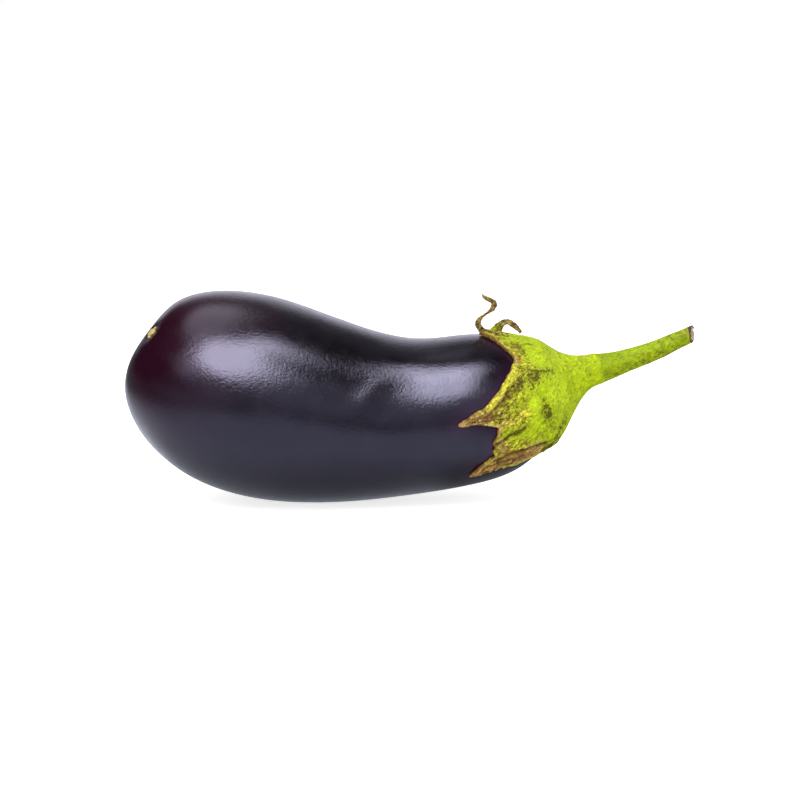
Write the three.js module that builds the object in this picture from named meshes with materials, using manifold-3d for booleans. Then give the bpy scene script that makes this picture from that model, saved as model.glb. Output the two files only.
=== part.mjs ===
// An eggplant lying on its belly: a glossy fruit with a full blossom end and a slimmer, bent neck,
// the green calyx that caps its shoulder, with its sepals drying at the edges and two of their tips
// curled up off the skin, the stem, and the small corky scar where the flower was.
//
// Millimetres, +Z up. The stem points along +X, the blossom end along -X. The origin is the middle
// of the bounding box's underside.

import * as THREE from 'three';
import { LoftGeometry } from 'three/addons/geometries/LoftGeometry.js';
import { mergeVertices } from 'three/addons/utils/BufferGeometryUtils.js';
import Module from 'manifold-3d';

// ---------------------------------------------------------------------------------------------
// Fruit

// Outline in the fruit's own upright plane, as X and Z: from the blossom end over the back to the
// shoulder that carries the stem, and home along the belly.
const fruitOutline = [
  [-109.6, 71.8], [-97.5, 84], [-77, 88.3], [-52, 84.4], [-23, 73.9],
  [5, 68.2], [28, 69.9], [47, 66.5], [61, 58], [66.5, 46],
  [61, 29], [47, 14], [25, 6.5], [-6, 1.7], [-36, -0.6],
  [-66, 1.6], [-92, 10.5], [-110, 25.4], [-119.5, 46], [-116.8, 60.6],
];
const shoulderPoint = 9;          // the outline point under the stem
const widthToHeight = 1.08;       // a fruit lying down is a little wider than it is high
const neckLean = 5;               // how far the shoulder has swung to +Y
const leanStart = 0.35;           // share of the way to the shoulder at which the swing starts
const flatDepth = 10;             // depth of the block that trims the belly flat where it rests
const fruitRings = 36;
const fruitSides = 48;
const endShare = 0.004;           // share of the way left at each end, closed by a tiny face
const endCrowding = 0.35;         // how much closer the rings stand towards the two ends

// ---------------------------------------------------------------------------------------------
// Calyx

// Sepals in order round the shoulder, each as the angle and reach of its tip and of the notch after
// it. Angles are in degrees from the top towards -Y, reach is along the skin from the shoulder
// point. Rise and fall say how sharply the two edges of a sepal narrow towards its tip.
const sepals = [
  { tip: [3, 49], rise: 1, fall: 1.2, notch: [39, 35.5] },
  { tip: [87.5, 63], rise: 1.6, fall: 1.4, notch: [95, 46.5] },
  { tip: [108, 51], rise: 1, fall: 1, notch: [117.5, 50] },
  { tip: [133, 62], rise: 0.8, fall: 5, notch: [178, 19.5] },
  { tip: [212, 55], rise: 1.6, fall: 1.3, notch: [238, 34] },
  { tip: [263, 60], rise: 1.3, fall: 1.3, notch: [302, 34] },
  { tip: [340, 46], rise: 1.2, fall: 1, notch: [352, 43] },
];
const calyxGap = 0.5;             // air between the calyx and the skin under it
const calyxBody = 3.3;            // thickness of the cap round the shoulder
const sepalThickness = 1.1;       // thickness of a sepal once it lies free on the skin
const thinning = [22, 40];        // reaches between which the cap thins to a sepal
const hugEnd = 24;                // reach at which the cap leaves the skin and rises to the neck
const hugShare = 0.75;            // the same on a short sepal, as a share of its reach
const neckPull = 0.33;            // roundness of the rise, as a share of its length
const innerEnd = 0.8;             // reach of the last ring inside the cap
const edgeColumns = 3;            // columns on every edge of a sepal
const columnPitch = 5;            // and one more for each such stretch of reach that it loses
const neckRows = 5;
const outerRows = 6;
const innerRows = 15;

// The two dried tips that stand off the skin: their middle lines, and half their width and
// thickness where they leave the calyx.
const frontCurl = {
  path: [
    [36, -0.8, 70.3], [33.4, -0.9, 71.2], [30.9, -1.2, 72.3], [28.8, -1.5, 74.1],
    [28, -1.5, 75.9], [29.4, -1.5, 77.8], [32.1, -1.5, 80.3], [34.2, -1.5, 82],
    [34, -1.5, 84.2], [31.5, -1.5, 85.7], [29.8, -1.5, 87.1],
  ],
  halfWidth: 1.5,
  halfThickness: 1,
};
const backCurl = {
  path: [
    [38, 11.5, 69.4], [34.8, 11, 70.6], [35.2, 10.5, 73], [38, 10, 74.5], [40.5, 9.5, 74.1],
    [42.8, 9, 72.7], [44.6, 8.5, 70.9],
  ],
  halfWidth: 1.4,
  halfThickness: 0.9,
};
const curlTaper = 0.45;           // width left at the end of a curl, as a share of its start
const curlRings = 20;
const curlSides = 6;

// ---------------------------------------------------------------------------------------------
// Stem

// Middle line from the calyx to the cut end, and the radius at each of its points.
const stemPath = [
  [78.6, 5, 54.9], [84.6, 5.3, 56.4], [91.4, 5.8, 58.5], [98.1, 6.3, 60.7],
  [104.8, 6.9, 63.2], [111.5, 7.5, 66.3], [118.7, 8, 69.2],
];
const stemRadii = [6.8, 5.7, 4.9, 4.5, 4.2, 3.8, 3.6];
const stemGap = 0.3;              // parting between the stem and the calyx
const stemRings = 16;
const stemSides = 20;
const cutBevel = 0.5;             // rounding at the rim of the cut end

// ---------------------------------------------------------------------------------------------
// Blossom scar

const scarAngle = 70;             // place on the skin: angle round it and reach from the shoulder
const scarReach = 201;
const scarRadius = 2.6;
const scarHeight = 0.8;
const scarGap = 0.35;
const scarSides = 16;
const scarProfilePoints = 4;

// ---------------------------------------------------------------------------------------------
// The skin as a surface: an angle round it and a share of the way from blossom end to shoulder

const towardsFront = new THREE.Vector3(0, -1, 0);

const outline = new THREE.CatmullRomCurve3(
  fruitOutline.map(([x, z]) => new THREE.Vector3(x, 0, z)), true, 'centripetal');
const spanDivisions = 100;
outline.arcLengthDivisions = spanDivisions * fruitOutline.length;
const outlineLengths = outline.getLengths();
const outlineLength = outlineLengths.at(-1);
const backLength = outlineLengths[spanDivisions * shoulderPoint];
const bellyLength = outlineLength - backLength;

/** Point of the skin at an angle (radians) and a share of the way from blossom end to shoulder. */
function skinPoint(angle, along) {
  const back = outline.getPointAt(along * backLength / outlineLength);
  const belly = outline.getPointAt(1 - along * bellyLength / outlineLength);
  const half = back.clone().sub(belly).multiplyScalar(0.5);
  const swing = Math.max(0, (along - leanStart) / (1 - leanStart));
  const point = belly.add(half);
  point.addScaledVector(towardsFront, Math.sin(angle) * widthToHeight * half.length());
  point.addScaledVector(half, Math.cos(angle));
  point.y += neckLean * swing * swing;
  return point;
}

/** Length of the skin's line at this angle, from the shoulder point to the blossom end. */
function lineLength(angle) {
  const backShare = (1 + Math.cos(angle)) / 2;
  return backLength * backShare + bellyLength * (1 - backShare);
}

/** Point, outward normal and direction to the shoulder, at a reach from the shoulder point. */
function skinFrame(angle, reach) {
  const step = 0.002;
  const along = Math.min(1 - reach / lineLength(angle), 1 - 2 * step);
  const toShoulder = skinPoint(angle, along + step).sub(skinPoint(angle, along - step));
  const round = skinPoint(angle + step, along).sub(skinPoint(angle - step, along));
  return {
    point: skinPoint(angle, 1 - reach / lineLength(angle)),
    normal: new THREE.Vector3().crossVectors(round, toShoulder).normalize(),
    toShoulder: toShoulder.normalize(),
  };
}

/** Point at a height above the skin. */
function abovePoint(angle, reach, height) {
  const { point, normal } = skinFrame(angle, reach);
  return point.addScaledVector(normal, height);
}

// ---------------------------------------------------------------------------------------------
// Closed meshes and their joins

const wasm = await Module();
wasm.setup();

/** A manifold solid of a closed geometry. */
function toSolid(geometry) {
  const bare = new THREE.BufferGeometry();
  bare.setAttribute('position', geometry.getAttribute('position'));
  bare.setIndex(geometry.index);
  const merged = mergeVertices(bare, 1e-5);
  const corners = merged.index.array;
  const kept = [];
  for (let i = 0; i < corners.length; i += 3) {
    const [a, b, c] = corners.subarray(i, i + 3);
    if (a !== b && b !== c && c !== a) kept.push(a, b, c);
  }
  return new wasm.Manifold(new wasm.Mesh({
    numProp: 3,
    vertProperties: new Float32Array(merged.attributes.position.array),
    triVerts: new Uint32Array(kept),
  }));
}

/** The geometry of a manifold solid. */
function toGeometry(solid) {
  const mesh = solid.getMesh();
  const geometry = new THREE.BufferGeometry();
  geometry.setAttribute('position', new THREE.BufferAttribute(mesh.vertProperties, 3));
  geometry.setIndex(new THREE.BufferAttribute(mesh.triVerts, 1));
  geometry.computeVertexNormals();
  return geometry;
}

/** A named mesh of the eggplant. */
function piece(name, geometry, color, roughness) {
  const material = new THREE.MeshStandardMaterial({ color, roughness, metalness: 0 });
  const mesh = new THREE.Mesh(geometry, material);
  mesh.name = name;
  return mesh;
}

/** Whole numbers from 0 to count - 1. */
function range(count) {
  return Array.from({ length: count }, (_, i) => i);
}

// ---------------------------------------------------------------------------------------------
// Fruit: rings from blossom end to shoulder, trimmed flat where it rests

function makeFruit() {
  const rings = range(fruitRings + 1).map((ring) => {
    const even = ring / fruitRings;
    const crowded = (1 - Math.cos(Math.PI * even)) / 2;
    const along = THREE.MathUtils.lerp(
      endShare, 1 - endShare, THREE.MathUtils.lerp(even, crowded, endCrowding));
    return range(fruitSides).map((side) => skinPoint(2 * Math.PI * side / fruitSides, along));
  });
  const whole = toSolid(new LoftGeometry(rings, { capStart: true, capEnd: true }));
  const ground = new THREE.BoxGeometry(outlineLength, outlineLength, flatDepth);
  ground.translate(0, 0, -flatDepth / 2);
  return toGeometry(whole.subtract(toSolid(ground)));
}

// ---------------------------------------------------------------------------------------------
// Stem: round rings along its bent middle line

const stemLine = new THREE.CatmullRomCurve3(stemPath.map((p) => new THREE.Vector3(...p)));

/** Radius at a share of the stem's length, between the radii at its points. */
function stemRadius(share) {
  const place = share * (stemRadii.length - 1);
  const before = Math.min(Math.floor(place), stemRadii.length - 2);
  return THREE.MathUtils.lerp(stemRadii[before], stemRadii[before + 1], place - before);
}

/** The stem's round section at a share of its length: centre, direction, its two axes, radius. */
function stemSection(share) {
  const direction = stemLine.getTangentAt(share);
  const side = towardsFront.clone().projectOnPlane(direction).normalize();
  return {
    centre: stemLine.getPointAt(share),
    direction,
    side,
    top: side.clone().cross(direction),
    radius: stemRadius(share),
  };
}

/** Point of a round section at an angle from its top towards its side. */
function sectionPoint({ centre, top, side }, radius, angle) {
  return centre.clone()
    .addScaledVector(top, Math.cos(angle) * radius)
    .addScaledVector(side, Math.sin(angle) * radius);
}

function makeStem() {
  const length = stemLine.getLength();
  const stations = range(stemRings + 1).map((ring) => (
    THREE.MathUtils.lerp(stemGap / length, 1 - cutBevel / length, ring / stemRings)));
  const rings = [...stations, 1].map((share) => {
    const section = stemSection(share);
    const radius = section.radius - (share === 1 ? cutBevel : 0);
    return range(stemSides).map((k) => sectionPoint(section, radius, 2 * Math.PI * k / stemSides));
  });
  return toGeometry(toSolid(new LoftGeometry(rings, { capStart: true, capEnd: true })));
}

// ---------------------------------------------------------------------------------------------
// Calyx: one closed skin from the neck ring, over the outside to the margin, and back inside

/** Angle (radians) and reach of the margin, at a share of the way from a tip to its notch. */
function marginAfterTip(sepal, share) {
  const [tipAngle, tipReach] = sepal.tip;
  const [notchAngle, notchReach] = sepal.notch;
  return {
    angle: THREE.MathUtils.degToRad(THREE.MathUtils.lerp(tipAngle, notchAngle, share)),
    reach: notchReach + (tipReach - notchReach) * (1 - share) ** sepal.fall,
  };
}

/** The same from a notch to the next sepal's tip. */
function marginBeforeTip(notch, sepal, turn, share) {
  const [notchAngle, notchReach] = notch;
  const [tipAngle, tipReach] = sepal.tip;
  return {
    angle: THREE.MathUtils.degToRad(THREE.MathUtils.lerp(notchAngle, tipAngle + turn, share)),
    reach: notchReach + (tipReach - notchReach) * share ** sepal.rise,
  };
}

const longestReach = Math.max(...sepals.map((sepal) => sepal.tip[1]));

/** Even shares along the edge between a tip and a notch, closer where the edge is longer. */
function edgeShares([, reachA], [, reachB]) {
  const count = edgeColumns + Math.ceil(Math.abs(reachA - reachB) / columnPitch);
  return range(count).map((k) => k / count);
}

/** Margin points round the whole calyx, close together on every edge of every sepal. */
function calyxMargin() {
  return sepals.flatMap((sepal, i) => {
    const next = sepals[(i + 1) % sepals.length];
    const turn = i + 1 === sepals.length ? 360 : 0;
    return [
      ...edgeShares(sepal.tip, sepal.notch).map((share) => marginAfterTip(sepal, share)),
      ...edgeShares(sepal.notch, next.tip).map((share) => marginBeforeTip(sepal.notch, next, turn, share)),
    ];
  });
}

/** Thickness of the calyx at a reach from the shoulder point. */
function thickness(reach) {
  const thinned = THREE.MathUtils.smoothstep(reach, ...thinning);
  return THREE.MathUtils.lerp(calyxBody, sepalThickness, thinned);
}

/** The calyx in one column, from the neck ring over the outside to the margin and back inside. */
function calyxColumn({ angle, reach }, neck) {
  const leave = Math.min(hugEnd, hugShare * reach);
  const ringPoint = sectionPoint(neck, neck.radius, angle);
  const leavePoint = abovePoint(angle, leave, calyxGap + thickness(leave));
  const pull = neckPull * ringPoint.distanceTo(leavePoint);
  const rise = new THREE.CubicBezierCurve3(
    ringPoint,
    ringPoint.clone().addScaledVector(neck.direction, -pull),
    leavePoint.clone().addScaledVector(skinFrame(angle, leave).toShoulder, pull),
    leavePoint);
  const outside = range(outerRows).map((row) => {
    const level = THREE.MathUtils.lerp(hugEnd, longestReach, (row + 1) / outerRows);
    const at = THREE.MathUtils.clamp(level, leave, reach);
    return abovePoint(angle, at, calyxGap + thickness(at));
  });
  const inside = range(innerRows + 1).map((row) => {
    const level = THREE.MathUtils.lerp(longestReach, innerEnd, row / innerRows);
    return abovePoint(angle, Math.min(level, reach), calyxGap);
  });
  return [...rise.getPoints(neckRows), ...outside, ...inside];
}

/** A flat tapering strip along a path, its width across the path and nearly level. */
function curlGeometry({ path, halfWidth, halfThickness }) {
  const line = new THREE.CatmullRomCurve3(path.map((p) => new THREE.Vector3(...p)));
  const rings = range(curlRings + 1).map((ring) => {
    const share = ring / curlRings;
    const taper = THREE.MathUtils.lerp(1, curlTaper, share);
    const centre = line.getPointAt(share);
    const across = line.getTangentAt(share).cross(towardsFront).normalize();
    return range(curlSides).map((side) => {
      const turn = 2 * Math.PI * side / curlSides;
      return centre.clone()
        .addScaledVector(towardsFront, Math.cos(turn) * halfWidth * taper)
        .addScaledVector(across, Math.sin(turn) * halfThickness * taper);
    });
  });
  return new LoftGeometry(rings, { capStart: true, capEnd: true });
}

function makeCalyx() {
  const neck = stemSection(0);
  const columns = calyxMargin().map((margin) => calyxColumn(margin, neck)).reverse();
  const rows = columns[0].map((_, row) => columns.map((column) => column[row]));
  const pole = abovePoint(0, innerEnd, calyxGap).add(abovePoint(Math.PI, innerEnd, calyxGap));
  rows.push(columns.map(() => pole.clone().multiplyScalar(0.5)));
  const cap = toSolid(new LoftGeometry(rows, { capStart: true }));
  const curls = [frontCurl, backCurl].map((curl) => toSolid(curlGeometry(curl)));
  return toGeometry(curls.reduce((joined, curl) => joined.add(curl), cap));
}

// ---------------------------------------------------------------------------------------------
// Blossom scar: a low corky dome on the skin at the blossom end

function makeScar() {
  const dome = range(scarProfilePoints + 1).map((i) => {
    const turn = Math.PI / 2 * i / scarProfilePoints;
    return new THREE.Vector2(scarRadius * Math.cos(turn), scarHeight * Math.sin(turn));
  });
  dome[scarProfilePoints].x = 0;
  return new THREE.LatheGeometry([new THREE.Vector2(0, 0), ...dome], scarSides);
}

/** Stands the scar on the skin, with its own Y axis along the skin's normal. */
function placeScar(mesh) {
  const { point, normal } = skinFrame(THREE.MathUtils.degToRad(scarAngle), scarReach);
  mesh.quaternion.setFromUnitVectors(new THREE.Vector3(0, 1, 0), normal);
  mesh.position.copy(point).addScaledVector(normal, scarGap);
  return mesh;
}

// ---------------------------------------------------------------------------------------------
// The eggplant

const eggplant = new THREE.Group();
eggplant.name = 'eggplant';
eggplant.add(
  piece('fruit', makeFruit(), 0x1c0f1a, 0.2),
  piece('calyx', makeCalyx(), 0x9fb52c, 0.6),
  piece('stem', makeStem(), 0xa5c23a, 0.55),
  placeScar(piece('blossom_scar', makeScar(), 0xa08a52, 0.85)),
);

export default eggplant;
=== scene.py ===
"""Looks of an eggplant lying on its belly.

A glossy fruit with a full blossom end and a bent neck, the green calyx that caps its shoulder with
sepals drying at their edges, two dried sepal tips curled up off the skin, the stem with its cut
end, and the corky scar where the flower was. Sizes are in millimetres and angles in degrees until
a mesh is made, and meshes are in metres.
"""

import logging
import math
from dataclasses import dataclass, field, replace
from enum import Enum
from itertools import product

import bpy
import numpy as np
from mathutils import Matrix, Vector
from mathutils.kdtree import KDTree


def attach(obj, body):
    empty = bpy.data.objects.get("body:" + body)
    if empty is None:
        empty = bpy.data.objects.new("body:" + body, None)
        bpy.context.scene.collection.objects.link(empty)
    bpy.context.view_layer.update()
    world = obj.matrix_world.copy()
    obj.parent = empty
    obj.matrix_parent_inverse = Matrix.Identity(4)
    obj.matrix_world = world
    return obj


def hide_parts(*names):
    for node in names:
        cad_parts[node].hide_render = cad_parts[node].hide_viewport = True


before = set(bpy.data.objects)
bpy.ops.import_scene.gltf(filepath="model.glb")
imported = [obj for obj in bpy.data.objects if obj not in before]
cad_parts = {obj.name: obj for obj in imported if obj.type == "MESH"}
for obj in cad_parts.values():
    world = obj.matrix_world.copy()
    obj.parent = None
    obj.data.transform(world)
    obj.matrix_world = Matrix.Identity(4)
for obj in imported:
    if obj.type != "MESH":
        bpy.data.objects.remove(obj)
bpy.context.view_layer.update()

log = logging.getLogger("eggplant")

MM = 0.001
TINY = 1e-12
BODY = "root"
Colour = tuple[float, float, float]
Place = tuple[float, float, float]
Spot = tuple[float, float]
Path = tuple[Spot, ...]
Array = np.ndarray
Masks = dict[str, Array]
Mesh = bpy.types.Mesh
Piece = bpy.types.Object
Material = bpy.types.Material
Socket = bpy.types.NodeSocket
Value = Socket | float | bool | str | tuple[float, ...]
FRONT = np.array([0.0, -1.0, 0.0])
UP = np.array([0.0, 0.0, 1.0])


# Small tools: splines, random relief, meshes


class Spline:
    """A cubic curve through points, smooth to its second derivative.

    The points lie along it by their chords to the power of evenness.
    """

    EVENNESS = 0.75

    def __init__(self, points: Array, closed: bool = False) -> None:
        """Solves the curve.

        Args:
            points: the points that it passes through, one a row.
            closed: whether it runs from the last point back to the first.
        """
        self.points = np.asarray(points, float)
        self.closed = closed
        count = len(self.points)
        self._next = np.roll(np.arange(count), -1)
        chords = np.linalg.norm(self.points[self._next] - self.points, axis=1)
        self._steps = chords**self.EVENNESS
        self.spans = count if closed else count - 1
        self._bend = self._solve()

    def _solve(self) -> Array:
        """Second derivatives at the points.

        Returns:
            One second derivative a point, nought at the ends of an open curve.
        """
        count = len(self.points)
        matrix = np.eye(count)
        right = np.zeros_like(self.points)
        steps = self._steps
        inner = range(count) if self.closed else range(1, count - 1)
        for i in inner:
            before, after = (i - 1) % count, (i + 1) % count
            matrix[i] = 0
            matrix[i, before] += steps[before] / 6
            matrix[i, i] += (steps[before] + steps[i]) / 3
            matrix[i, after] += steps[i] / 6
            rise = (self.points[after] - self.points[i]) / steps[i]
            fall = (self.points[i] - self.points[before]) / steps[before]
            right[i] = rise - fall
        return np.linalg.solve(matrix, right)

    def sample(self, per_span: int) -> Array:
        """Points along the curve.

        Args:
            per_span: how many to take between two of the given points.

        Returns:
            The points, with the last given point at the end of an open curve.
        """
        rows = []
        for i in range(self.spans):
            after = self._next[i]
            late = np.linspace(0, 1, per_span, endpoint=False)[:, None]
            early = 1 - late
            bend = (early**3 - early) * self._bend[i] + (late**3 - late) * self._bend[after]
            straight = early * self.points[i] + late * self.points[after]
            rows.append(straight + self._steps[i] ** 2 / 6 * bend)
        if not self.closed:
            rows.append(self.points[-1:])
        return np.vstack(rows)


class Rail:
    """A polyline that is walked by the share of its length."""

    def __init__(self, points: Array) -> None:
        """Measures the polyline.

        Args:
            points: its points, one a row.
        """
        self.points = points
        steps = np.linalg.norm(np.diff(points, axis=0), axis=1)
        travelled = np.concatenate([[0.0], np.cumsum(steps)])
        self.length = float(travelled[-1])
        self._shares = travelled / self.length

    def at(self, share: Array) -> Array:
        """Points at shares of the length."""
        axes = [np.interp(share, self._shares, column) for column in self.points.T]
        return np.stack(axes, axis=-1)


class Grain:
    """Smooth random relief, from a repeating lattice of random numbers."""

    SIZE = 32

    def __init__(self, seed: int) -> None:
        """Draws the lattice."""
        self._cells = np.random.default_rng(seed).random((self.SIZE,) * 3)

    def at(self, places: Array, cell: float) -> Array:
        """Relief from -1 to 1 at places.

        Args:
            places: coordinates in the last axis, two or three of them.
            cell: size of a lattice cell, in the places' own unit.

        Returns:
            One value a place.
        """
        if places.shape[-1] == 2:
            places = np.concatenate([places, np.zeros(places.shape[:-1] + (1,))], axis=-1)
        scaled = places / cell
        low = np.floor(scaled).astype(int)
        part = scaled - low
        part = part**3 * (part * (part * 6 - 15) + 10)
        total = np.zeros(places.shape[:-1])
        for corner in product((0, 1), repeat=3):
            weight = np.ones_like(total)
            for axis, late in enumerate(corner):
                weight = weight * (part[..., axis] if late else 1 - part[..., axis])
            spot = (low + corner) % self.SIZE
            total += weight * self._cells[spot[..., 0], spot[..., 1], spot[..., 2]]
        return 2 * total - 1

    def ripples(self, places: Array, layers: tuple[Place, ...]) -> Array:
        """Sum of random layers, each with a cell size, a height and a shift of its places."""
        return sum(height * self.at(places + shift, size) for size, height, shift in layers)

    def ridges(self, places: Array, cell: float) -> Array:
        """Sharp crests from 0 to 1 with broad valleys between them."""
        return 1 - np.abs(self.at(places, cell))


def unit(vectors: Array) -> Array:
    """Vectors in the last axis, made one unit long."""
    return vectors / np.linalg.norm(vectors, axis=-1, keepdims=True)


def circle(columns: int) -> Array:
    """Points round a circle of radius one, as cosine and sine."""
    turn = np.arange(columns) * 2 * np.pi / columns
    return np.stack([np.cos(turn), np.sin(turn)], axis=-1)


def axes_along(direction: Array) -> tuple[Array, Array]:
    """Directions across a path: to its side, towards -Y, and to its top."""
    side = unit(FRONT - direction * (direction @ FRONT)[..., None])
    return side, np.cross(side, direction)


def smoothstep(value: Array, low: float, high: float) -> Array:
    """Soft step from 0 below low to 1 above high."""
    part = np.clip((value - low) / (high - low), 0, 1)
    return part * part * (3 - 2 * part)


def grow(sizes: tuple[float, ...], *shares: Array) -> Array:
    """A base size, plus each further size times its share."""
    return sizes[0] + sum(size * share for size, share in zip(sizes[1:], shares))


def fade(distance: Array, radius: float) -> Array:
    """Soft spot: 1 in its middle, about a third at its radius, nothing far out."""
    return np.exp(-((distance / radius) ** 2))


def distance_to_path(places: Array, path: Array) -> Array:
    """Distance of places to a polyline.

    Args:
        places: points, in the last axis.
        path: the polyline's points, one a row. One point alone is a spot.

    Returns:
        One distance a place.
    """
    distance = np.linalg.norm(places - path[0], axis=-1)
    for start, end in zip(path[:-1], path[1:]):
        along = end - start
        share = np.clip((places - start) @ along / max(along @ along, TINY), 0, 1)
        gap = np.linalg.norm(places - start - share[..., None] * along, axis=-1)
        distance = np.minimum(distance, gap)
    return distance


def nearest(places: Array, line: Array) -> tuple[Array, Array]:
    """Finds the point of a line that is nearest to each place.

    Args:
        places: points, in the last axis.
        line: the line's points, one a row.

    Returns:
        The number of that point and the distance to it, for each place.
    """
    tree = KDTree(len(line))
    for number, point in enumerate(line):
        tree.insert(point, number)
    tree.balance()
    found = np.array([tree.find(place)[1:] for place in places.reshape(-1, 3)])
    number, distance = found.T.reshape(2, *places.shape[:-1])
    return number.astype(int), distance


def neighbours(start: int, columns: int) -> list[tuple[int, int]]:
    """Numbers of each two neighbours in a ring of points."""
    return [(start + column, start + (column + 1) % columns) for column in range(columns)]


def tube_faces(rows: int, columns: int) -> list[list[int]]:
    """Quads of a grid whose last column joins its first."""
    pairs = [pair for row in range(rows - 1) for pair in neighbours(row * columns, columns)]
    return [[here, after, after + columns, here + columns] for here, after in pairs]


def fan_faces(ring: int, columns: int, pole: int, ending: bool) -> list[list[int]]:
    """Triangles that close a tube's first or, if ending, its last ring to one pole."""
    pairs = neighbours(ring, columns)
    return [[here, after, pole] if ending else [after, here, pole] for here, after in pairs]


def mesh_places(mesh: Mesh) -> Array:
    """Places of a mesh's vertices.

    Args:
        mesh: the mesh.

    Returns:
        One place a row, in metres.
    """
    places = np.zeros(len(mesh.vertices) * 3)
    mesh.vertices.foreach_get("co", places)
    return places.reshape(-1, 3)


def paint_mesh(mesh: Mesh, masks: Masks) -> None:
    """Paints values on a mesh.

    Args:
        mesh: the mesh.
        masks: one value for each vertex, by name.
    """
    for mask, values in masks.items():
        layer = mesh.attributes.new(mask, "FLOAT", "POINT")
        layer.data.foreach_set("value", np.asarray(values, np.float32))


def enclosed_volume(mesh: Mesh) -> float:
    """Volume inside a closed mesh.

    Args:
        mesh: the mesh.

    Returns:
        The volume, negative if the faces point in.
    """
    mesh.calc_loop_triangles()
    corners = np.zeros(len(mesh.loop_triangles) * 3, int)
    mesh.loop_triangles.foreach_get("vertices", corners)
    a, b, c = mesh_places(mesh)[corners.reshape(-1, 3)].transpose(1, 0, 2)
    return float(np.einsum("ij,ij->i", a, np.cross(b, c)).sum() / 6)


def add_object(name: str, mesh: Mesh) -> Piece:
    """Puts a mesh in the scene.

    Args:
        name: the object's name.
        mesh: its mesh.

    Returns:
        The object, at the origin.
    """
    made = bpy.data.objects.new(name, mesh)
    bpy.context.scene.collection.objects.link(made)
    return made


def closed_mesh(
    name: str, grid: Array, poles: tuple[Array, Array], masks: Masks, finish: Material
) -> Piece:
    """A closed, smooth piece from the rings of a tube and a point at each end.

    Args:
        name: the piece's name.
        grid: the rings' points in millimetres, as rows, columns and axes.
        poles: the points before the first ring and after the last one.
        masks: values painted on the surface, one for each point of the grid.
        finish: the piece's material.

    Returns:
        The object, with its faces pointing out.
    """
    rows, columns = grid.shape[:2]
    count = rows * columns
    points = np.vstack([grid.reshape(-1, 3), poles[0][None], poles[1][None]]) * MM
    faces = tube_faces(rows, columns)
    faces += fan_faces(0, columns, count, ending=False)
    faces += fan_faces(count - columns, columns, count + 1, ending=True)
    mesh = bpy.data.meshes.new(name)
    mesh.from_pydata(points.tolist(), [], faces)
    if enclosed_volume(mesh) < 0:
        mesh.flip_normals()
    paint_mesh(mesh, {
        mask: np.concatenate([values.reshape(-1), [values[0].mean(), values[-1].mean()]])
        for mask, values in masks.items()})
    mesh.shade_smooth()
    mesh.materials.append(finish)
    return add_object(name, mesh)


# Finishes


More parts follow.
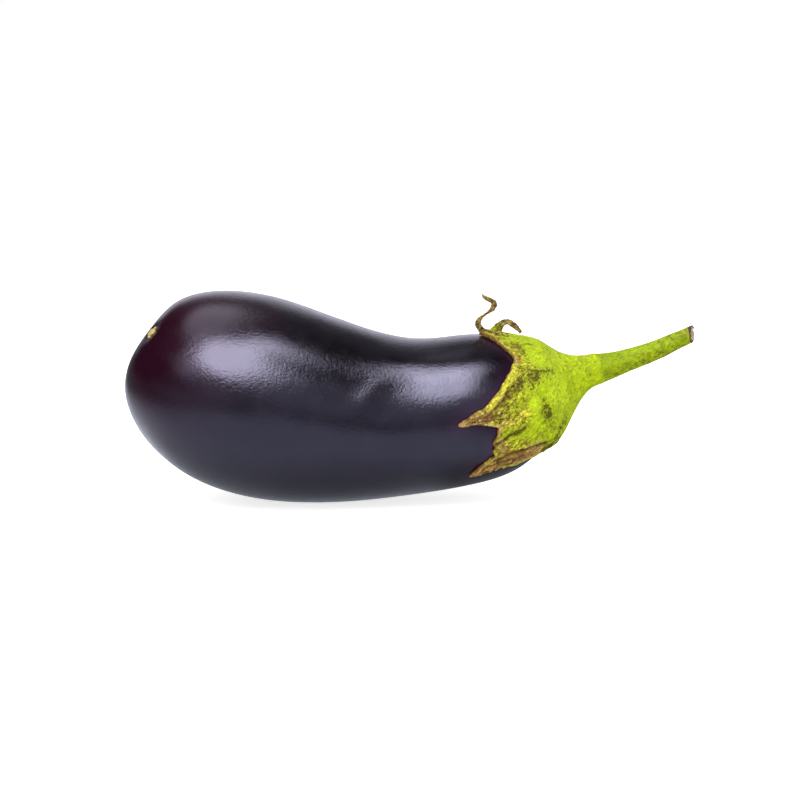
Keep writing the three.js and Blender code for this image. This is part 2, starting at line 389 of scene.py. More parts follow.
class Nodes:
    """A node tree being wired: each call adds a node and gives back the socket to use next."""

    def __init__(self, tree: bpy.types.NodeTree) -> None:
        """Keeps the tree."""
        self.tree = tree

    def add(self, kind: str, **settings: object) -> bpy.types.Node:
        """Adds a node.

        Args:
            kind: the node's type.
            settings: its properties by name.

        Returns:
            The node.
        """
        node = self.tree.nodes.new(kind)
        for key, value in settings.items():
            setattr(node, key, value)
        return node

    def feed(self, socket: Socket, value: Value) -> None:
        """Links a socket to another socket, or sets it to a plain value.

        Args:
            socket: the input.
            value: what it gets.
        """
        if isinstance(value, Socket):
            self.tree.links.new(value, socket)
        elif isinstance(value, tuple) and len(value) == 3 and socket.type == "RGBA":
            socket.default_value = (*value, 1.0)
        else:
            socket.default_value = value

    def fill(self, node: bpy.types.Node, feeds: dict[int | str, Value]) -> None:
        """Feeds a node's inputs, given by number or name."""
        for key, value in feeds.items():
            self.feed(node.inputs[key], value)

    def wire(
        self, kind: str, feeds: dict[int | str, Value], out: int | str = 0, **settings: object
    ) -> Socket:
        """Adds a node and feeds it.

        Args:
            kind: the node's type.
            feeds: what its inputs get, by number or name.
            out: number or name of the wanted output.
            settings: its properties by name.

        Returns:
            The wanted output.
        """
        node = self.add(kind, **settings)
        self.fill(node, feeds)
        return node.outputs[out]

    def math(self, operation: str, a: Value, b: Value = 0.0, clamp: bool = False) -> Socket:
        """One step of arithmetic on two numbers."""
        return self.wire("ShaderNodeMath", {0: a, 1: b}, operation=operation, use_clamp=clamp)

    def times(self, first: Value, *others: Value) -> Value:
        """Product of numbers.

        Args:
            first: a number.
            others: the numbers that it is multiplied by, one after the other.

        Returns:
            The product.
        """
        for other in others:
            first = self.math("MULTIPLY", first, other)
        return first

    def times_plus(self, a: Value, b: Value, c: Value) -> Socket:
        """A number times another one, plus a third."""
        return self.wire("ShaderNodeMath", {0: a, 1: b, 2: c}, operation="MULTIPLY_ADD")

    def vector(self, operation: str, a: Value, b: Value, out: int | str = 0) -> Socket:
        """One step of arithmetic on two vectors."""
        return self.wire("ShaderNodeVectorMath", {0: a, 1: b}, out, operation=operation)

    def scaled(self, vector: Value, share: Value) -> Socket:
        """A vector times a number."""
        return self.wire("ShaderNodeVectorMath", {0: vector, "Scale": share}, operation="SCALE")

    def blend(self, share: Value, a: Value, b: Value, mode: str = "MIX") -> Socket:
        """Mixes two colours."""
        feeds = {0: share, 6: a, 7: b}
        return self.wire("ShaderNodeMix", feeds, 2, data_type="RGBA", blend_type=mode)

    def layers(self, colour: Value, tints: tuple[tuple[Value, Value], ...]) -> Value:
        """Lays tints over a colour.

        Args:
            colour: the colour underneath.
            tints: the share and the colour of each tint, the first one laid on first.

        Returns:
            The colour on top.
        """
        for share, tint in tints:
            colour = self.blend(share, colour, tint)
        return colour

    def spread(
        self, value: Value, low: float, high: float, bottom: float = 0.0, top: float = 1.0
    ) -> Socket:
        """Maps the range from low to high softly to the one from bottom to top, clamped."""
        feeds = {"Value": value, "From Min": low, "From Max": high, "To Min": bottom, "To Max": top}
        return self.wire("ShaderNodeMapRange", feeds, "Result", interpolation_type="SMOOTHSTEP")

    def mix_in_gloss(self, plain: Socket, in_gloss: Socket, output: bpy.types.Node) -> None:
        """Shows a plain shader to the eye and another one in reflections."""
        feeds = {0: self.wire("ShaderNodeLightPath", {}, "Is Glossy Ray"), 1: plain, 2: in_gloss}
        self.fill(output, {"Surface": self.wire("ShaderNodeMixShader", feeds)})

    def painted(self, mask: str) -> Socket:
        """A value painted on the surface."""
        return self.wire("ShaderNodeAttribute", {}, "Fac", attribute_name=mask)

    def broken(self, mask: str, noise: Value, amount: float, low: float, high: float) -> Socket:
        """A painted value with its soft edge broken up by noise, spread from low to high."""
        uneven = self.times_plus(self.math("SUBTRACT", noise, 0.5), amount, self.painted(mask))
        return self.spread(uneven, low, high)

    def places(self) -> Socket:
        """Places on the piece, in metres."""
        return self.add("ShaderNodeTexCoord").outputs["Object"]

    def noise(self, places: Value, size: float, detail: float = 2.0, rough: float = 0.5) -> Socket:
        """Cloudy noise from 0 to 1, of a size in millimetres, with finer layers on it."""
        feeds = {"Vector": places, "Scale": 1 / (size * MM), "Detail": detail, "Roughness": rough}
        return self.wire("ShaderNodeTexNoise", feeds, "Fac")

    def warp(self, places: Value, size: float, amount: float) -> Socket:
        """Places pushed about by noise.

        Args:
            places: coordinates in metres.
            size: size of the noise, in millimetres.
            amount: how far it pushes, in millimetres.

        Returns:
            The pushed coordinates.
        """
        feeds = {"Vector": places, "Scale": 1 / (size * MM)}
        colour = self.wire("ShaderNodeTexNoise", feeds, "Color")
        centred = self.vector("SUBTRACT", colour, (0.5, 0.5, 0.5))
        return self.vector("ADD", places, self.scaled(centred, 2 * amount * MM))

    def cells(self, places: Value, size: float, feature: str) -> Socket:
        """A distance in random cells of a size in millimetres, to the middle or the edge."""
        feeds = {"Vector": places, "Scale": 1 / (size * MM)}
        return self.wire("ShaderNodeTexVoronoi", feeds, "Distance", feature=feature)

    def bump(self, height: Value, depth: float, strength: float, under: Socket | None = None) -> Socket:
        """Fine relief.

        Args:
            height: the relief, 0 to 1.
            depth: how deep it is, in millimetres.
            strength: its share.
            under: the relief that it lies on, if any.

        Returns:
            The normal.
        """
        feeds = {"Height": height, "Distance": depth * MM, "Strength": strength}
        if under is not None:
            feeds["Normal"] = under
        return self.wire("ShaderNodeBump", feeds, "Normal")


class Finish:
    """A material with one shader: its name, and what the shader's inputs get."""

    name: str

    def feeds(self, nodes: Nodes) -> dict[str, Value]:
        """What the shader's inputs get, by name."""
        raise NotImplementedError

    def make(self) -> Material:
        """Makes the material.

        Returns:
            The material.
        """
        material = bpy.data.materials.new(self.name)
        material.use_nodes = True
        nodes = Nodes(material.node_tree)
        nodes.fill(nodes.tree.nodes["Principled BSDF"], self.feeds(nodes))
        return material


@dataclass(frozen=True)
class SkinFinish(Finish):
    """Waxy aubergine skin: nearly black, wine red at the blossom end and beside the sepals."""

    name: str = "aubergine_skin"
    dark: Colour = (0.0024, 0.0013, 0.0026)
    wine: Colour = (0.0165, 0.001, 0.0068)
    magenta: Colour = (0.022, 0.0045, 0.019)
    bloom: Colour = (0.006, 0.0035, 0.0062)
    sheen_tint: Colour = (0.75, 0.72, 1.0)
    glossiest: float = 0.16
    dullest: float = 0.24
    ior: float = 1.5
    haze: float = 0.026
    haze_roughness: float = 0.5
    haze_ior: float = 1.45
    cloud_size: float = 14.0
    patch_size: float = 6.0
    patch_depth: float = 0.05
    streak_size: float = 1.0
    streak_stretch: Place = (0.5, 1.0, 1.0)
    streak_depth: float = 0.08
    pore_size: float = 1.1
    pore_depth: float = 0.1
    fleck_size: float = 1.7

    def feeds(self, nodes: Nodes) -> dict[str, Value]:
        """Wires the colours and the relief.

        Args:
            nodes: the material's nodes.

        Returns:
            What the shader's inputs get.
        """
        places = nodes.places()
        clouds = nodes.noise(places, self.cloud_size, 3, 0.55)
        patches = nodes.noise(places, self.patch_size, 3, 0.6)
        drawn_out = nodes.wire("ShaderNodeMapping", {"Vector": places, "Scale": self.streak_stretch})
        streaks = nodes.noise(drawn_out, self.streak_size, 3, 0.6)
        pores = nodes.noise(places, self.pore_size, 3, 0.65)
        flecks = nodes.cells(places, self.fleck_size, "F1")
        reddened = nodes.times(nodes.painted("blossom_end"), nodes.spread(clouds, 0.1, 0.6, 0.75, 1.0))
        colour = nodes.blend(nodes.spread(clouds, 0.35, 0.7), self.dark, self.bloom)
        relief = nodes.bump(patches, self.patch_depth, 0.6)
        relief = nodes.bump(streaks, self.streak_depth, 0.9, relief)
        return {
            "Base Color": nodes.layers(colour, (
                (reddened, self.wine),
                (nodes.spread(nodes.painted("beside_sepals"), 0.15, 0.9), self.magenta),
                (nodes.spread(flecks, 0.16, 0.05, 0.0, 0.35), self.bloom),
            )),
            "Roughness": nodes.spread(patches, 0.3, 0.75, self.glossiest, self.dullest),
            "Specular Tint": self.sheen_tint,
            "IOR": self.ior,
            "Coat Weight": self.haze,
            "Coat Roughness": self.haze_roughness,
            "Coat IOR": self.haze_ior,
            "Normal": nodes.bump(pores, self.pore_depth, 0.9, relief),
        }


@dataclass(frozen=True)
class LeafFinish(Finish):
    """Fleshy green leaf that crumples and dries to straw and brown, with olive stains; painted shade
    darkens its folds, hollows and fine creases, and painted light brightens its swellings.
    """

    name: str = "calyx_leaf"
    light: Colour = (0.49, 0.635, 0.008)
    deep: Colour = (0.39, 0.52, 0.007)
    # lime: a lighter green, partly painted light on swellings and on shaded parts of the calyx
    lime_and_painted_light: Colour = (0.55, 0.72, 0.013)
    yellow: Colour = (0.8, 0.77, 0.055)
    straw: Colour = (0.64, 0.425, 0.14)
    brown: Colour = (0.28, 0.135, 0.04)
    # the stain colour also paints shade in the fine creases and along the stem's underside
    stain_and_shade: Colour = (0.105, 0.088, 0.004)
    # the fold colour is painted shade at the bottom of folds, hollows and creases
    fold: Colour = (0.07, 0.04, 0.007)
    pit_shade: Colour = (0.36, 0.3, 0.3)
    roughness: float = 0.62
    drier: float = 0.25
    gloss: float = 0.07
    relief: float = 0.2
    cloud_size: float = 5.0
    mottle_size: float = 1.5
    grain_size: float = 0.75
    grain_share: float = 0.45
    net_size: float = 1.5
    net_strength: float = 0.65
    stroke_size: float = 1.0
    stroke_length: float = 3.2
    stroke_lean: float = -0.7

    def feeds(self, nodes: Nodes) -> dict[str, Value]:
        """Wires the colours and the relief.

        Args:
            nodes: the material's nodes.

        Returns:
            What the shader's inputs get.
        """
        places = nodes.places()
        clouds = nodes.noise(places, self.cloud_size, 4, 0.6)
        mottle = nodes.spread(nodes.noise(places, self.mottle_size, 3, 0.6), 0.32, 0.68)
        grain = nodes.spread(nodes.noise(places, self.grain_size, 2, 0.65), 0.3, 0.7)
        coarse = nodes.times(mottle, 1 - self.grain_share)
        speck = nodes.times_plus(grain, self.grain_share, coarse)
        strokes = self.strokes(nodes, places)
        crumpled = nodes.painted("crumpled")
        cells = nodes.cells(nodes.warp(places, 1.4, 1.3), self.net_size, "DISTANCE_TO_EDGE")
        net = nodes.times(nodes.spread(cells, 0.2, 0.02), crumpled, self.net_strength)
        # painted shade: dark strokes along the fine creases
        creases = nodes.times(nodes.spread(strokes, 0.5, 0.65), nodes.spread(mottle, 0.2, 0.8, 0.2, 0.6))
        colour = nodes.layers(nodes.blend(nodes.spread(clouds, 0.35, 0.68), self.light, self.deep), (
            (self.patch(nodes, "lime_and_painted_light", speck, 0.5), self.lime_and_painted_light),
            (self.patch(nodes, "yellow", speck, 0.7), self.yellow),
            (nodes.times(nodes.spread(speck, 0.4, 0.8, 0.3, 1.0), crumpled, 0.7), self.yellow),
            # painted light: pale strokes beside the fine creases
            (nodes.times(nodes.spread(strokes, 0.47, 0.3, 0.0, 0.55), crumpled), self.yellow),
            (creases, self.stain_and_shade),
            (nodes.spread(speck, 0.62, 0.8, 0.0, 0.4), self.stain_and_shade),
            (self.patch(nodes, "stain_and_shade", speck, 1.1, 0.22, 0.78), self.stain_and_shade),
            (self.patch(nodes, "straw", speck, 0.9), self.straw),
            (net, nodes.blend(mottle, self.stain_and_shade, self.brown)),
            (self.patch(nodes, "brown", speck, 1.1), self.brown),
        ))
        # painted shade: the colour darkened in the leaf's hollows
        pits = nodes.times(nodes.painted("pit"), nodes.spread(grain, 0.1, 0.9, 0.95, 0.6))
        # painted shade at the bottom of the folds
        painted_fold_shade = nodes.times(nodes.painted("fold"), nodes.spread(speck, 0.2, 0.8, 1.0, 0.6))
        colour = nodes.layers(colour, (
            (pits, nodes.blend(1.0, colour, self.pit_shade, "MULTIPLY")),
            (painted_fold_shade, self.fold),
        ))
        # painted light and shade of fine crinkles where the leaf is crumpled or stained
        uneven = nodes.wire("ShaderNodeMix", {
            0: nodes.math("MAXIMUM", crumpled, nodes.painted("stain_and_shade")),
            2: 1.0,
            3: nodes.spread(strokes, 0.33, 0.66, 1.42, 0.56),
        }, data_type="FLOAT")
        shade = nodes.times(nodes.spread(grain, 0.0, 1.0, 0.74, 1.2), uneven)
        dry = nodes.math("ADD", nodes.painted("straw"), nodes.painted("brown"), clamp=True)
        height = nodes.math("SUBTRACT", mottle, nodes.times(net, 1.2))
        relief = nodes.bump(height, self.relief, 0.8)
        return {
            "Base Color": nodes.scaled(colour, shade),
            "Roughness": nodes.times_plus(dry, self.drier, self.roughness),
            "Specular IOR Level": self.gloss,
            "Normal": nodes.bump(grain, self.relief * 0.5, 0.8, relief),
        }

    def strokes(self, nodes: Nodes, places: Socket) -> Socket:
        """Noise drawn out into slanting strokes, for the painted light and shade of fine creases.

        Args:
            nodes: the material's nodes.
            places: places on the piece.

        Returns:
            The noise, 0 to 1.
        """
        leaning = nodes.wire("ShaderNodeMapping", {
            "Vector": nodes.warp(places, 2.5, 0.8),
            "Rotation": (0.0, self.stroke_lean, 0.0),
            "Scale": (self.stroke_length, 1.0, 1.0),
        }, vector_type="TEXTURE")
        return nodes.noise(leaning, self.stroke_size, 2, 0.6)

    def patch(
        self, nodes: Nodes, mask: str, noise: Socket, amount: float,
        low: float = 0.25, high: float = 0.7,
    ) -> Value:
        """A painted value with its edge broken up, and nothing where none is painted."""
        broken = nodes.broken(mask, noise, amount, low, high)
        return nodes.times(broken, nodes.spread(nodes.painted(mask), 0.02, 0.2))


@dataclass(frozen=True)
class CorkFinish(Finish):
    """Dry cork of the blossom scar: tan with dark crumbs, and painted shade at its edge and in its
    cracks.
    """

    name: str = "scar_cork"
    light: Colour = (0.66, 0.52, 0.2)
    dark: Colour = (0.09, 0.055, 0.02)
    crumb_size: float = 0.8
    crumb_depth: float = 0.15
    crack_size: float = 0.9
    roughness: float = 0.85
    gloss: float = 0.25

    def feeds(self, nodes: Nodes) -> dict[str, Value]:
        """Wires the colours and the relief.

        Args:
            nodes: the material's nodes.

        Returns:
            What the shader's inputs get.
        """
        places = nodes.places()
        crumbs = nodes.noise(places, self.crumb_size, 4, 0.7)
        cracks = nodes.cells(places, self.crack_size, "DISTANCE_TO_EDGE")
        return {
            "Base Color": nodes.layers(self.light, (
                (nodes.spread(crumbs, 0.5, 0.66), self.dark),
                # painted shade where the button sinks into its dimple, and in its cracks
                (nodes.spread(nodes.painted("rim"), 0.35, 0.9), self.dark),
                (nodes.spread(cracks, 0.12, 0.02, 0.0, 0.8), self.dark),
            )),
            "Roughness": self.roughness,
            "Specular IOR Level": self.gloss,
            "Normal": nodes.bump(crumbs, self.crumb_depth, 0.8),
        }


@dataclass(frozen=True)
class CutFinish(Finish):
    """The cut end of the stem: dark bark, a pale pinkish ring of wood and a brown pith."""

    name: str = "stem_cut"
    bark: Colour = (0.05, 0.028, 0.012)
    wood: Colour = (0.6, 0.48, 0.35)
    pith: Colour = (0.3, 0.19, 0.1)
    green: Colour = (0.22, 0.28, 0.012)
    crumb_size: float = 0.6
    crumb_depth: float = 0.12
    roughness: float = 0.8
    gloss: float = 0.25

    def feeds(self, nodes: Nodes) -> dict[str, Value]:
        """Wires the colours and the relief.

        Args:
            nodes: the material's nodes.

        Returns:
            What the shader's inputs get.
        """
        crumbs = nodes.noise(nodes.places(), self.crumb_size, 4, 0.65)
        return {
            "Base Color": nodes.layers(self.wood, (
                (nodes.painted("pith"), self.pith),
                (nodes.spread(crumbs, 0.5, 0.75, 0.0, 0.6), self.pith),
                (nodes.broken("bark", crumbs, 0.8, 0.3, 0.6), self.bark),
                (nodes.broken("green", crumbs, 0.7, 0.35, 0.65), self.green),
            )),
            "Roughness": self.roughness,
            "Specular IOR Level": self.gloss,
            "Normal": nodes.bump(crumbs, self.crumb_depth, 0.7),
        }


@dataclass(frozen=True)
class FloorFinish(Finish):
    """Pale matt studio floor. In gloss it shows a bright floor that dims towards the front.

    The floor near the fruit shines as near says, with painted shade under the stem and, close
    to the fruit, under its neck. Past the edge it shines as left and front say, and a painted shadow
    darkens it at the foot of the fruit. Places and distances are in metres.
    """

    name: str = "studio_floor"
    colour: Colour = (0.86, 0.86, 0.86)
    cloud: Colour = (0.8, 0.8, 0.8)
    cloud_size: float = 300.0
    glow: float = 0.75
    roughness: float = 0.9
    gloss: float = 0.1
    gloss_tint: Colour = (0.84, 0.885, 1.0)
    near: float = 1.5
    near_left: float = 0.15
    under_stem: float = 0.08
    under_neck: float = 0.3
    front: float = 0.46
    left: float = 0.68
    edge: Spot = (0.2, 0.27)
    edge_shift: float = 0.32
    contact: float = 0.31
    foot_x: float = -0.04
    foot_size: Spot = (0.105, 0.054)

    def feeds(self, nodes: Nodes) -> dict[str, Value]:
        """Wires the colours and the relief.

        Args:
            nodes: the material's nodes.

        Returns:
            What the shader's inputs get.
        """
        clouds = nodes.spread(nodes.noise(nodes.places(), self.cloud_size), 0.3, 0.7, 0.0, 0.02)
        for_eye = nodes.wire("ShaderNodeLightPath", {}, "Is Camera Ray")
        return {
            "Base Color": nodes.blend(clouds, self.colour, self.cloud),
            "Roughness": self.roughness,
            "Specular IOR Level": self.gloss,
            "Emission Color": (1.0, 1.0, 1.0),
            "Emission Strength": nodes.times(for_eye, self.glow),
        }

    def make(self) -> Material:
        """Makes the material, with its other look in gloss.

        Returns:
            The material.
        """
        material = super().make()
        nodes = Nodes(material.node_tree)
        feeds = {"Color": self.gloss_tint, "Strength": self.gloss_strength(nodes)}
        in_gloss = nodes.wire("ShaderNodeEmission", feeds)
        nodes.mix_in_gloss(nodes.tree.nodes["Principled BSDF"].outputs[0], in_gloss,
                           nodes.tree.nodes["Material Output"])
        return material

    def gloss_strength(self, nodes: Nodes) -> Value:
        """Brightness of the floor in gloss, by its place.

        Args:
            nodes: the material's nodes.

        Returns:
            The brightness.
        """
        places = nodes.places()
        place = nodes.add("ShaderNodeSeparateXYZ")
        nodes.fill(place, {0: places})
        x, y = place.outputs[0], place.outputs[1]
        away = nodes.times(y, -1.0)
        shifted = nodes.math("SUBTRACT", away, nodes.spread(x, -0.1, 0.05, 0.0, self.edge_shift))
        far_share = nodes.spread(shifted, *self.edge)
        far = nodes.times(far_share, nodes.spread(x, -0.42, -0.12, self.left, self.front))
        neck = nodes.times(nodes.spread(x, -0.005, 0.03), nodes.spread(away, 0.05, 0.01))
        near = nodes.times(
            nodes.math("SUBTRACT", 1.0, far_share),
            nodes.spread(x, -0.35, -0.1, self.near_left, self.near),
            nodes.spread(x, 0.03, 0.11, 1.0, self.under_stem),
            nodes.spread(neck, 0.0, 1.0, 1.0, self.under_neck))
        # painted shadow at the fruit's foot, seen in gloss
        centred = nodes.vector("SUBTRACT", places, (self.foot_x, 0.0, 0.0))
        foot = nodes.vector("MULTIPLY", centred, (1 / self.foot_size[0], 1 / self.foot_size[1], 0.0))
        from_foot = nodes.wire("ShaderNodeVectorMath", {0: foot}, "Value", operation="LENGTH")
        shade = nodes.spread(from_foot, 0.35, 1.3, self.contact, 1.0)
        return nodes.times(nodes.math("ADD", near, far), shade)


# Fruit


@dataclass
class FruitSurface:
    """The fruit's ideal skin: an angle round it, and a reach from the shoulder point.

    Angles run from the top towards -Y. The outline lies in the fruit's upright plane, as X and Z,
    from the blossom scar over the back to the shoulder that carries the stem and home along the
    belly.
    """

    outline: tuple[Spot, ...] = (
        (-109.6, 71.8), (-97.5, 84), (-77, 88.3), (-52, 84.4), (-23, 73.9),
        (5, 68.2), (28, 69.9), (47, 66.5), (61, 58), (66.5, 46),
        (61, 29), (47, 14), (25, 6.5), (-6, 1.7), (-36, -0.6),
        (-66, 1.6), (-92, 10.5), (-110, 25.4), (-119.5, 46), (-116.8, 60.6),
    )
    shoulder: int = 9
    width_to_height: float = 1.08
    lean: float = 5.0
    lean_start: float = 0.35
    per_span: int = 200

    def __post_init__(self) -> None:
        """Splits the outline into the line of the back and the line of the belly."""
        curve = Spline(np.array(self.outline), closed=True).sample(self.per_span)
        turn = self.shoulder * self.per_span
        self.back = Rail(curve[: turn + 1])
        self.belly = Rail(np.vstack([curve[turn:], curve[:1]])[::-1])

    def point(self, angle: Array, along: Array) -> Array:
        """Points of the skin.

        Args:
            angle: angles round the fruit.
            along: shares of the way from scar to shoulder.

        Returns:
            The points, in millimetres.
        """
        angle, along = np.broadcast_arrays(np.radians(angle), along)
        back, belly = self.back.at(along), self.belly.at(along)
        middle, half = (back + belly) / 2, (back - belly) / 2
        swing = np.clip((along - self.lean_start) / (1 - self.lean_start), 0, 1)
        width = self.width_to_height * np.linalg.norm(half, axis=-1)
        x = middle[..., 0] + np.cos(angle) * half[..., 0]
        y = self.lean * swing**2 - np.sin(angle) * width
        z = middle[..., 1] + np.cos(angle) * half[..., 1]
        return np.stack([x, y, z], axis=-1)

    def normal(self, angle: Array, along: Array) -> Array:
        """Outward directions of the skin.

        Args:
            angle: angles round the fruit.
            along: shares of the way from scar to shoulder.

        Returns:
            The unit directions.
        """
        step = 0.002
        along = np.clip(along, step, 1 - step)
        forward = self.point(angle, along + step) - self.point(angle, along - step)
        turn = math.degrees(step)
        round_it = self.point(angle + turn, along) - self.point(angle - turn, along)
        return unit(np.cross(round_it, forward))

    def along(self, angle: Array, reach: Array) -> Array:
        """Shares of the way from scar to shoulder.

        Args:
            angle: angles round the fruit.
            reach: distances from the shoulder point.

        Returns:
            The shares.
        """
        back_share = (1 + np.cos(np.radians(angle))) / 2
        length = self.back.length * back_share + self.belly.length * (1 - back_share)
        return 1 - reach / length

    def above(self, angle: Array, reach: Array, height: Array = 0.0) -> Array:
        """Points at a height over the skin.

        Args:
            angle: angles round the fruit.
            reach: distances from the shoulder point.
            height: distances off the skin.

        Returns:
            The points, in millimetres.
        """
        angle, reach, height = np.broadcast_arrays(
            np.asarray(angle, float), np.asarray(reach, float), np.asarray(height, float))
        along = self.along(angle, reach)
        return self.point(angle, along) + self.normal(angle, along) * height[..., None]


@dataclass(frozen=True)
class Dent:
    """A shallow hollow in the skin, or a swelling where its depth is negative."""

    angle: float
    reach: float
    length: float
    width: float
    depth: float
    slant: float = 0.0


@dataclass
class FruitBody:
    """The fruit: its skin in fine rings, with the gentle unevenness of a grown thing.

    Swells are the size, the height and the shift of its random relief. Scar rings, the dimple and
    the rim round the scar, are a distance, a width and a depth. A dent ends at dent_reach times
    its size. The wine colour fades to its low share below the wine heights.
    """

    surface: FruitSurface
    rings: int = 300
    sides: int = 284
    end_crowding: float = 0.3
    swells: tuple[Place, ...] = ((24.0, 0.22, 0.0), (9.0, 0.045, 0.0))
    scar_place: Spot = (70.0, 0.0664)
    scar_rings: tuple[Place, ...] = ((0.0, 5.0, 0.55), (6.5, 2.5, -0.165))
    dents: tuple[Dent, ...] = (
        Dent(75, 92, 3.0, 5.0, 0.2, -52),
        Dent(65.2, 97.8, 4.0, 8.4, -0.52, -50),
        Dent(60, 118, 12, 9, -0.2),
        Dent(36.4, 73, 17, 6.5, -0.62),
        Dent(250, 96, 9, 8, 0.4),
        Dent(300, 150, 12, 10, 0.3),
    )
    dent_reach: float = 3.0
    seed: int = 7
    wine_reach: float = 44.0
    wine_strength: float = 1.4
    wine_low: float = 0.4
    wine_heights: Spot = (12.0, 36.0)
    shade_strength: float = 0.8
    shade_reach: float = 6.0
    shade_limit: float = 20.0

    def build(self, margin: Array) -> Piece:
        """Makes the fruit.

        Args:
            margin: points of the calyx margin in millimetres, for the skin shaded beside it.

        Returns:
            The dressed piece.
        """
        even = np.arange(1, self.rings) / self.rings
        crowded = (1 - np.cos(np.pi * even)) / 2
        along = even + (crowded - even) * self.end_crowding
        angle = np.arange(self.sides) * 360 / self.sides
        angles, alongs = np.meshgrid(angle, along)
        skin = self.surface.point(angles, alongs)
        normals = self.surface.normal(angles, alongs)
        skin = skin + normals * self.relief(skin)[..., None]
        skin[..., 2] = np.maximum(skin[..., 2], 0)
        poles = (skin[0].mean(axis=0), skin[-1].mean(axis=0))
        masks = self.shades(skin, margin)
        piece = closed_mesh("fruit_skin", skin, poles, masks, SkinFinish().make())
        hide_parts("fruit")
        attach(piece, BODY)
        return piece

    def scar(self) -> tuple[Array, Array]:
        """Place of the blossom scar, and the outward direction there."""
        angle, along = self.scar_place
        return self.surface.point(angle, along), self.surface.normal(angle, along)

    def relief(self, skin: Array) -> Array:
        """Height of the unevenness over the ideal skin.

        Args:
            skin: points of the ideal skin.

        Returns:
            One height a point, in millimetres.
        """
        height = Grain(self.seed).ripples(skin, self.swells)
        away = np.linalg.norm(skin - self.scar()[0], axis=-1)
        for distance, width, depth in self.scar_rings:
            height = height - depth * fade(away - distance, width)
        for dent in self.dents:
            height = height - self.dent_depth(skin, dent)
        return height

    def dent_depth(self, skin: Array, dent: Dent) -> Array:
        """Depth of one dent.

        Args:
            skin: points of the ideal skin.
            dent: the dent.

        Returns:
            One depth a point, in millimetres.
        """
        along = self.surface.along(dent.angle, dent.reach)
        middle = self.surface.point(dent.angle, along)
        normal = self.surface.normal(dent.angle, along)
        lengthwise = unit(np.cross(normal, UP))
        crosswise = np.cross(normal, lengthwise)
        turn = math.radians(dent.slant)
        first = lengthwise * math.cos(turn) + crosswise * math.sin(turn)
        second = crosswise * math.cos(turn) - lengthwise * math.sin(turn)
        away = skin - middle
        spread = (away @ first / dent.length) ** 2 + (away @ second / dent.width) ** 2
        on_this_side = np.abs(away @ normal) < self.dent_reach * max(dent.length, dent.width)
        return dent.depth * np.exp(-spread) * on_this_side

    def shades(self, skin: Array, margin: Array) -> Masks:
        """Where the skin turns wine red, and where the sepals have kept the light off it.

        Args:
            skin: points of the skin.
            margin: points of the calyx margin.

        Returns:
            One share a point, by the name of the painted value.
        """
        away = np.linalg.norm(skin - self.scar()[0], axis=-1)
        high = self.wine_low + (1 - self.wine_low) * smoothstep(skin[..., 2], *self.wine_heights)
        close = skin[..., 0] > margin[:, 0].min() - self.shade_limit
        from_sepals = nearest(skin[close], margin)[1]
        shade = np.zeros(skin.shape[:2])
        shade[close] = self.shade_strength * np.exp(-from_sepals / self.shade_reach)
        return {
            "blossom_end": np.clip(self.wine_strength - away / self.wine_reach, 0, 1) * high,
            "beside_sepals": shade,
        }


# Calyx


class Trait(Enum):
    """What a mark changes: a painted value, or the height of the surface."""

    STRAW = "straw"
    BROWN = "brown"
    STAIN = "stain_and_shade"
    # lime: lighter green, partly painted light on swellings and on shaded parts of the calyx
    LIME_AND_PAINTED_LIGHT = "lime_and_painted_light"
    YELLOW = "yellow"
    # fold: painted shade at the bottom of folds and hollows
    FOLD_SHADE = "fold"
    CRUMPLED = "crumpled"
    HEIGHT = "height"


STRAW, BROWN, STAIN, LIME_AND_PAINTED_LIGHT, YELLOW, FOLD_SHADE, CRUMPLED, HEIGHT = Trait
# of these, fold and pit carry painted shade
LEAF_MASKS = (*(trait.value for trait in Trait if trait is not HEIGHT), "pit")


# A soft stroke on the calyx: its trait, its path as angle and reach, its radius and its amount.
Mark = tuple[Trait, Path, float, float]
# How much wider a fold's painted shade is than its groove.
FOLD_WIDTH = 1.5


def groove(path: Path, width: float, depth: float, dark: float) -> list[Mark]:
    """A fold in the leaf: sunk to a depth, with painted shade at its bottom."""
    return [(HEIGHT, path, width, -depth), (FOLD_SHADE, path, width * FOLD_WIDTH, dark)]


UPPER_FOLD = ((49.5, 30.8), (55.6, 34.8), (63.4, 38.6), (68.4, 41.4), (74, 43.9), (79.6, 47.3),
              (84, 50.6))
CHEEK_FOLD = ((107, 48.6), (104.9, 45.6), (102.2, 42.9), (101.4, 39.6), (99, 36.6))
LOWER_FOLD = ((123, 50.5), (121.4, 46), (119.8, 42.2), (121.6, 38.6), (122, 34.6),
              (123.8, 30.6), (126, 28.4))
LIP_BAND = ((8, 46.2), (16, 43), (23.2, 40.4), (30.5, 37.8), (37.5, 35.2))

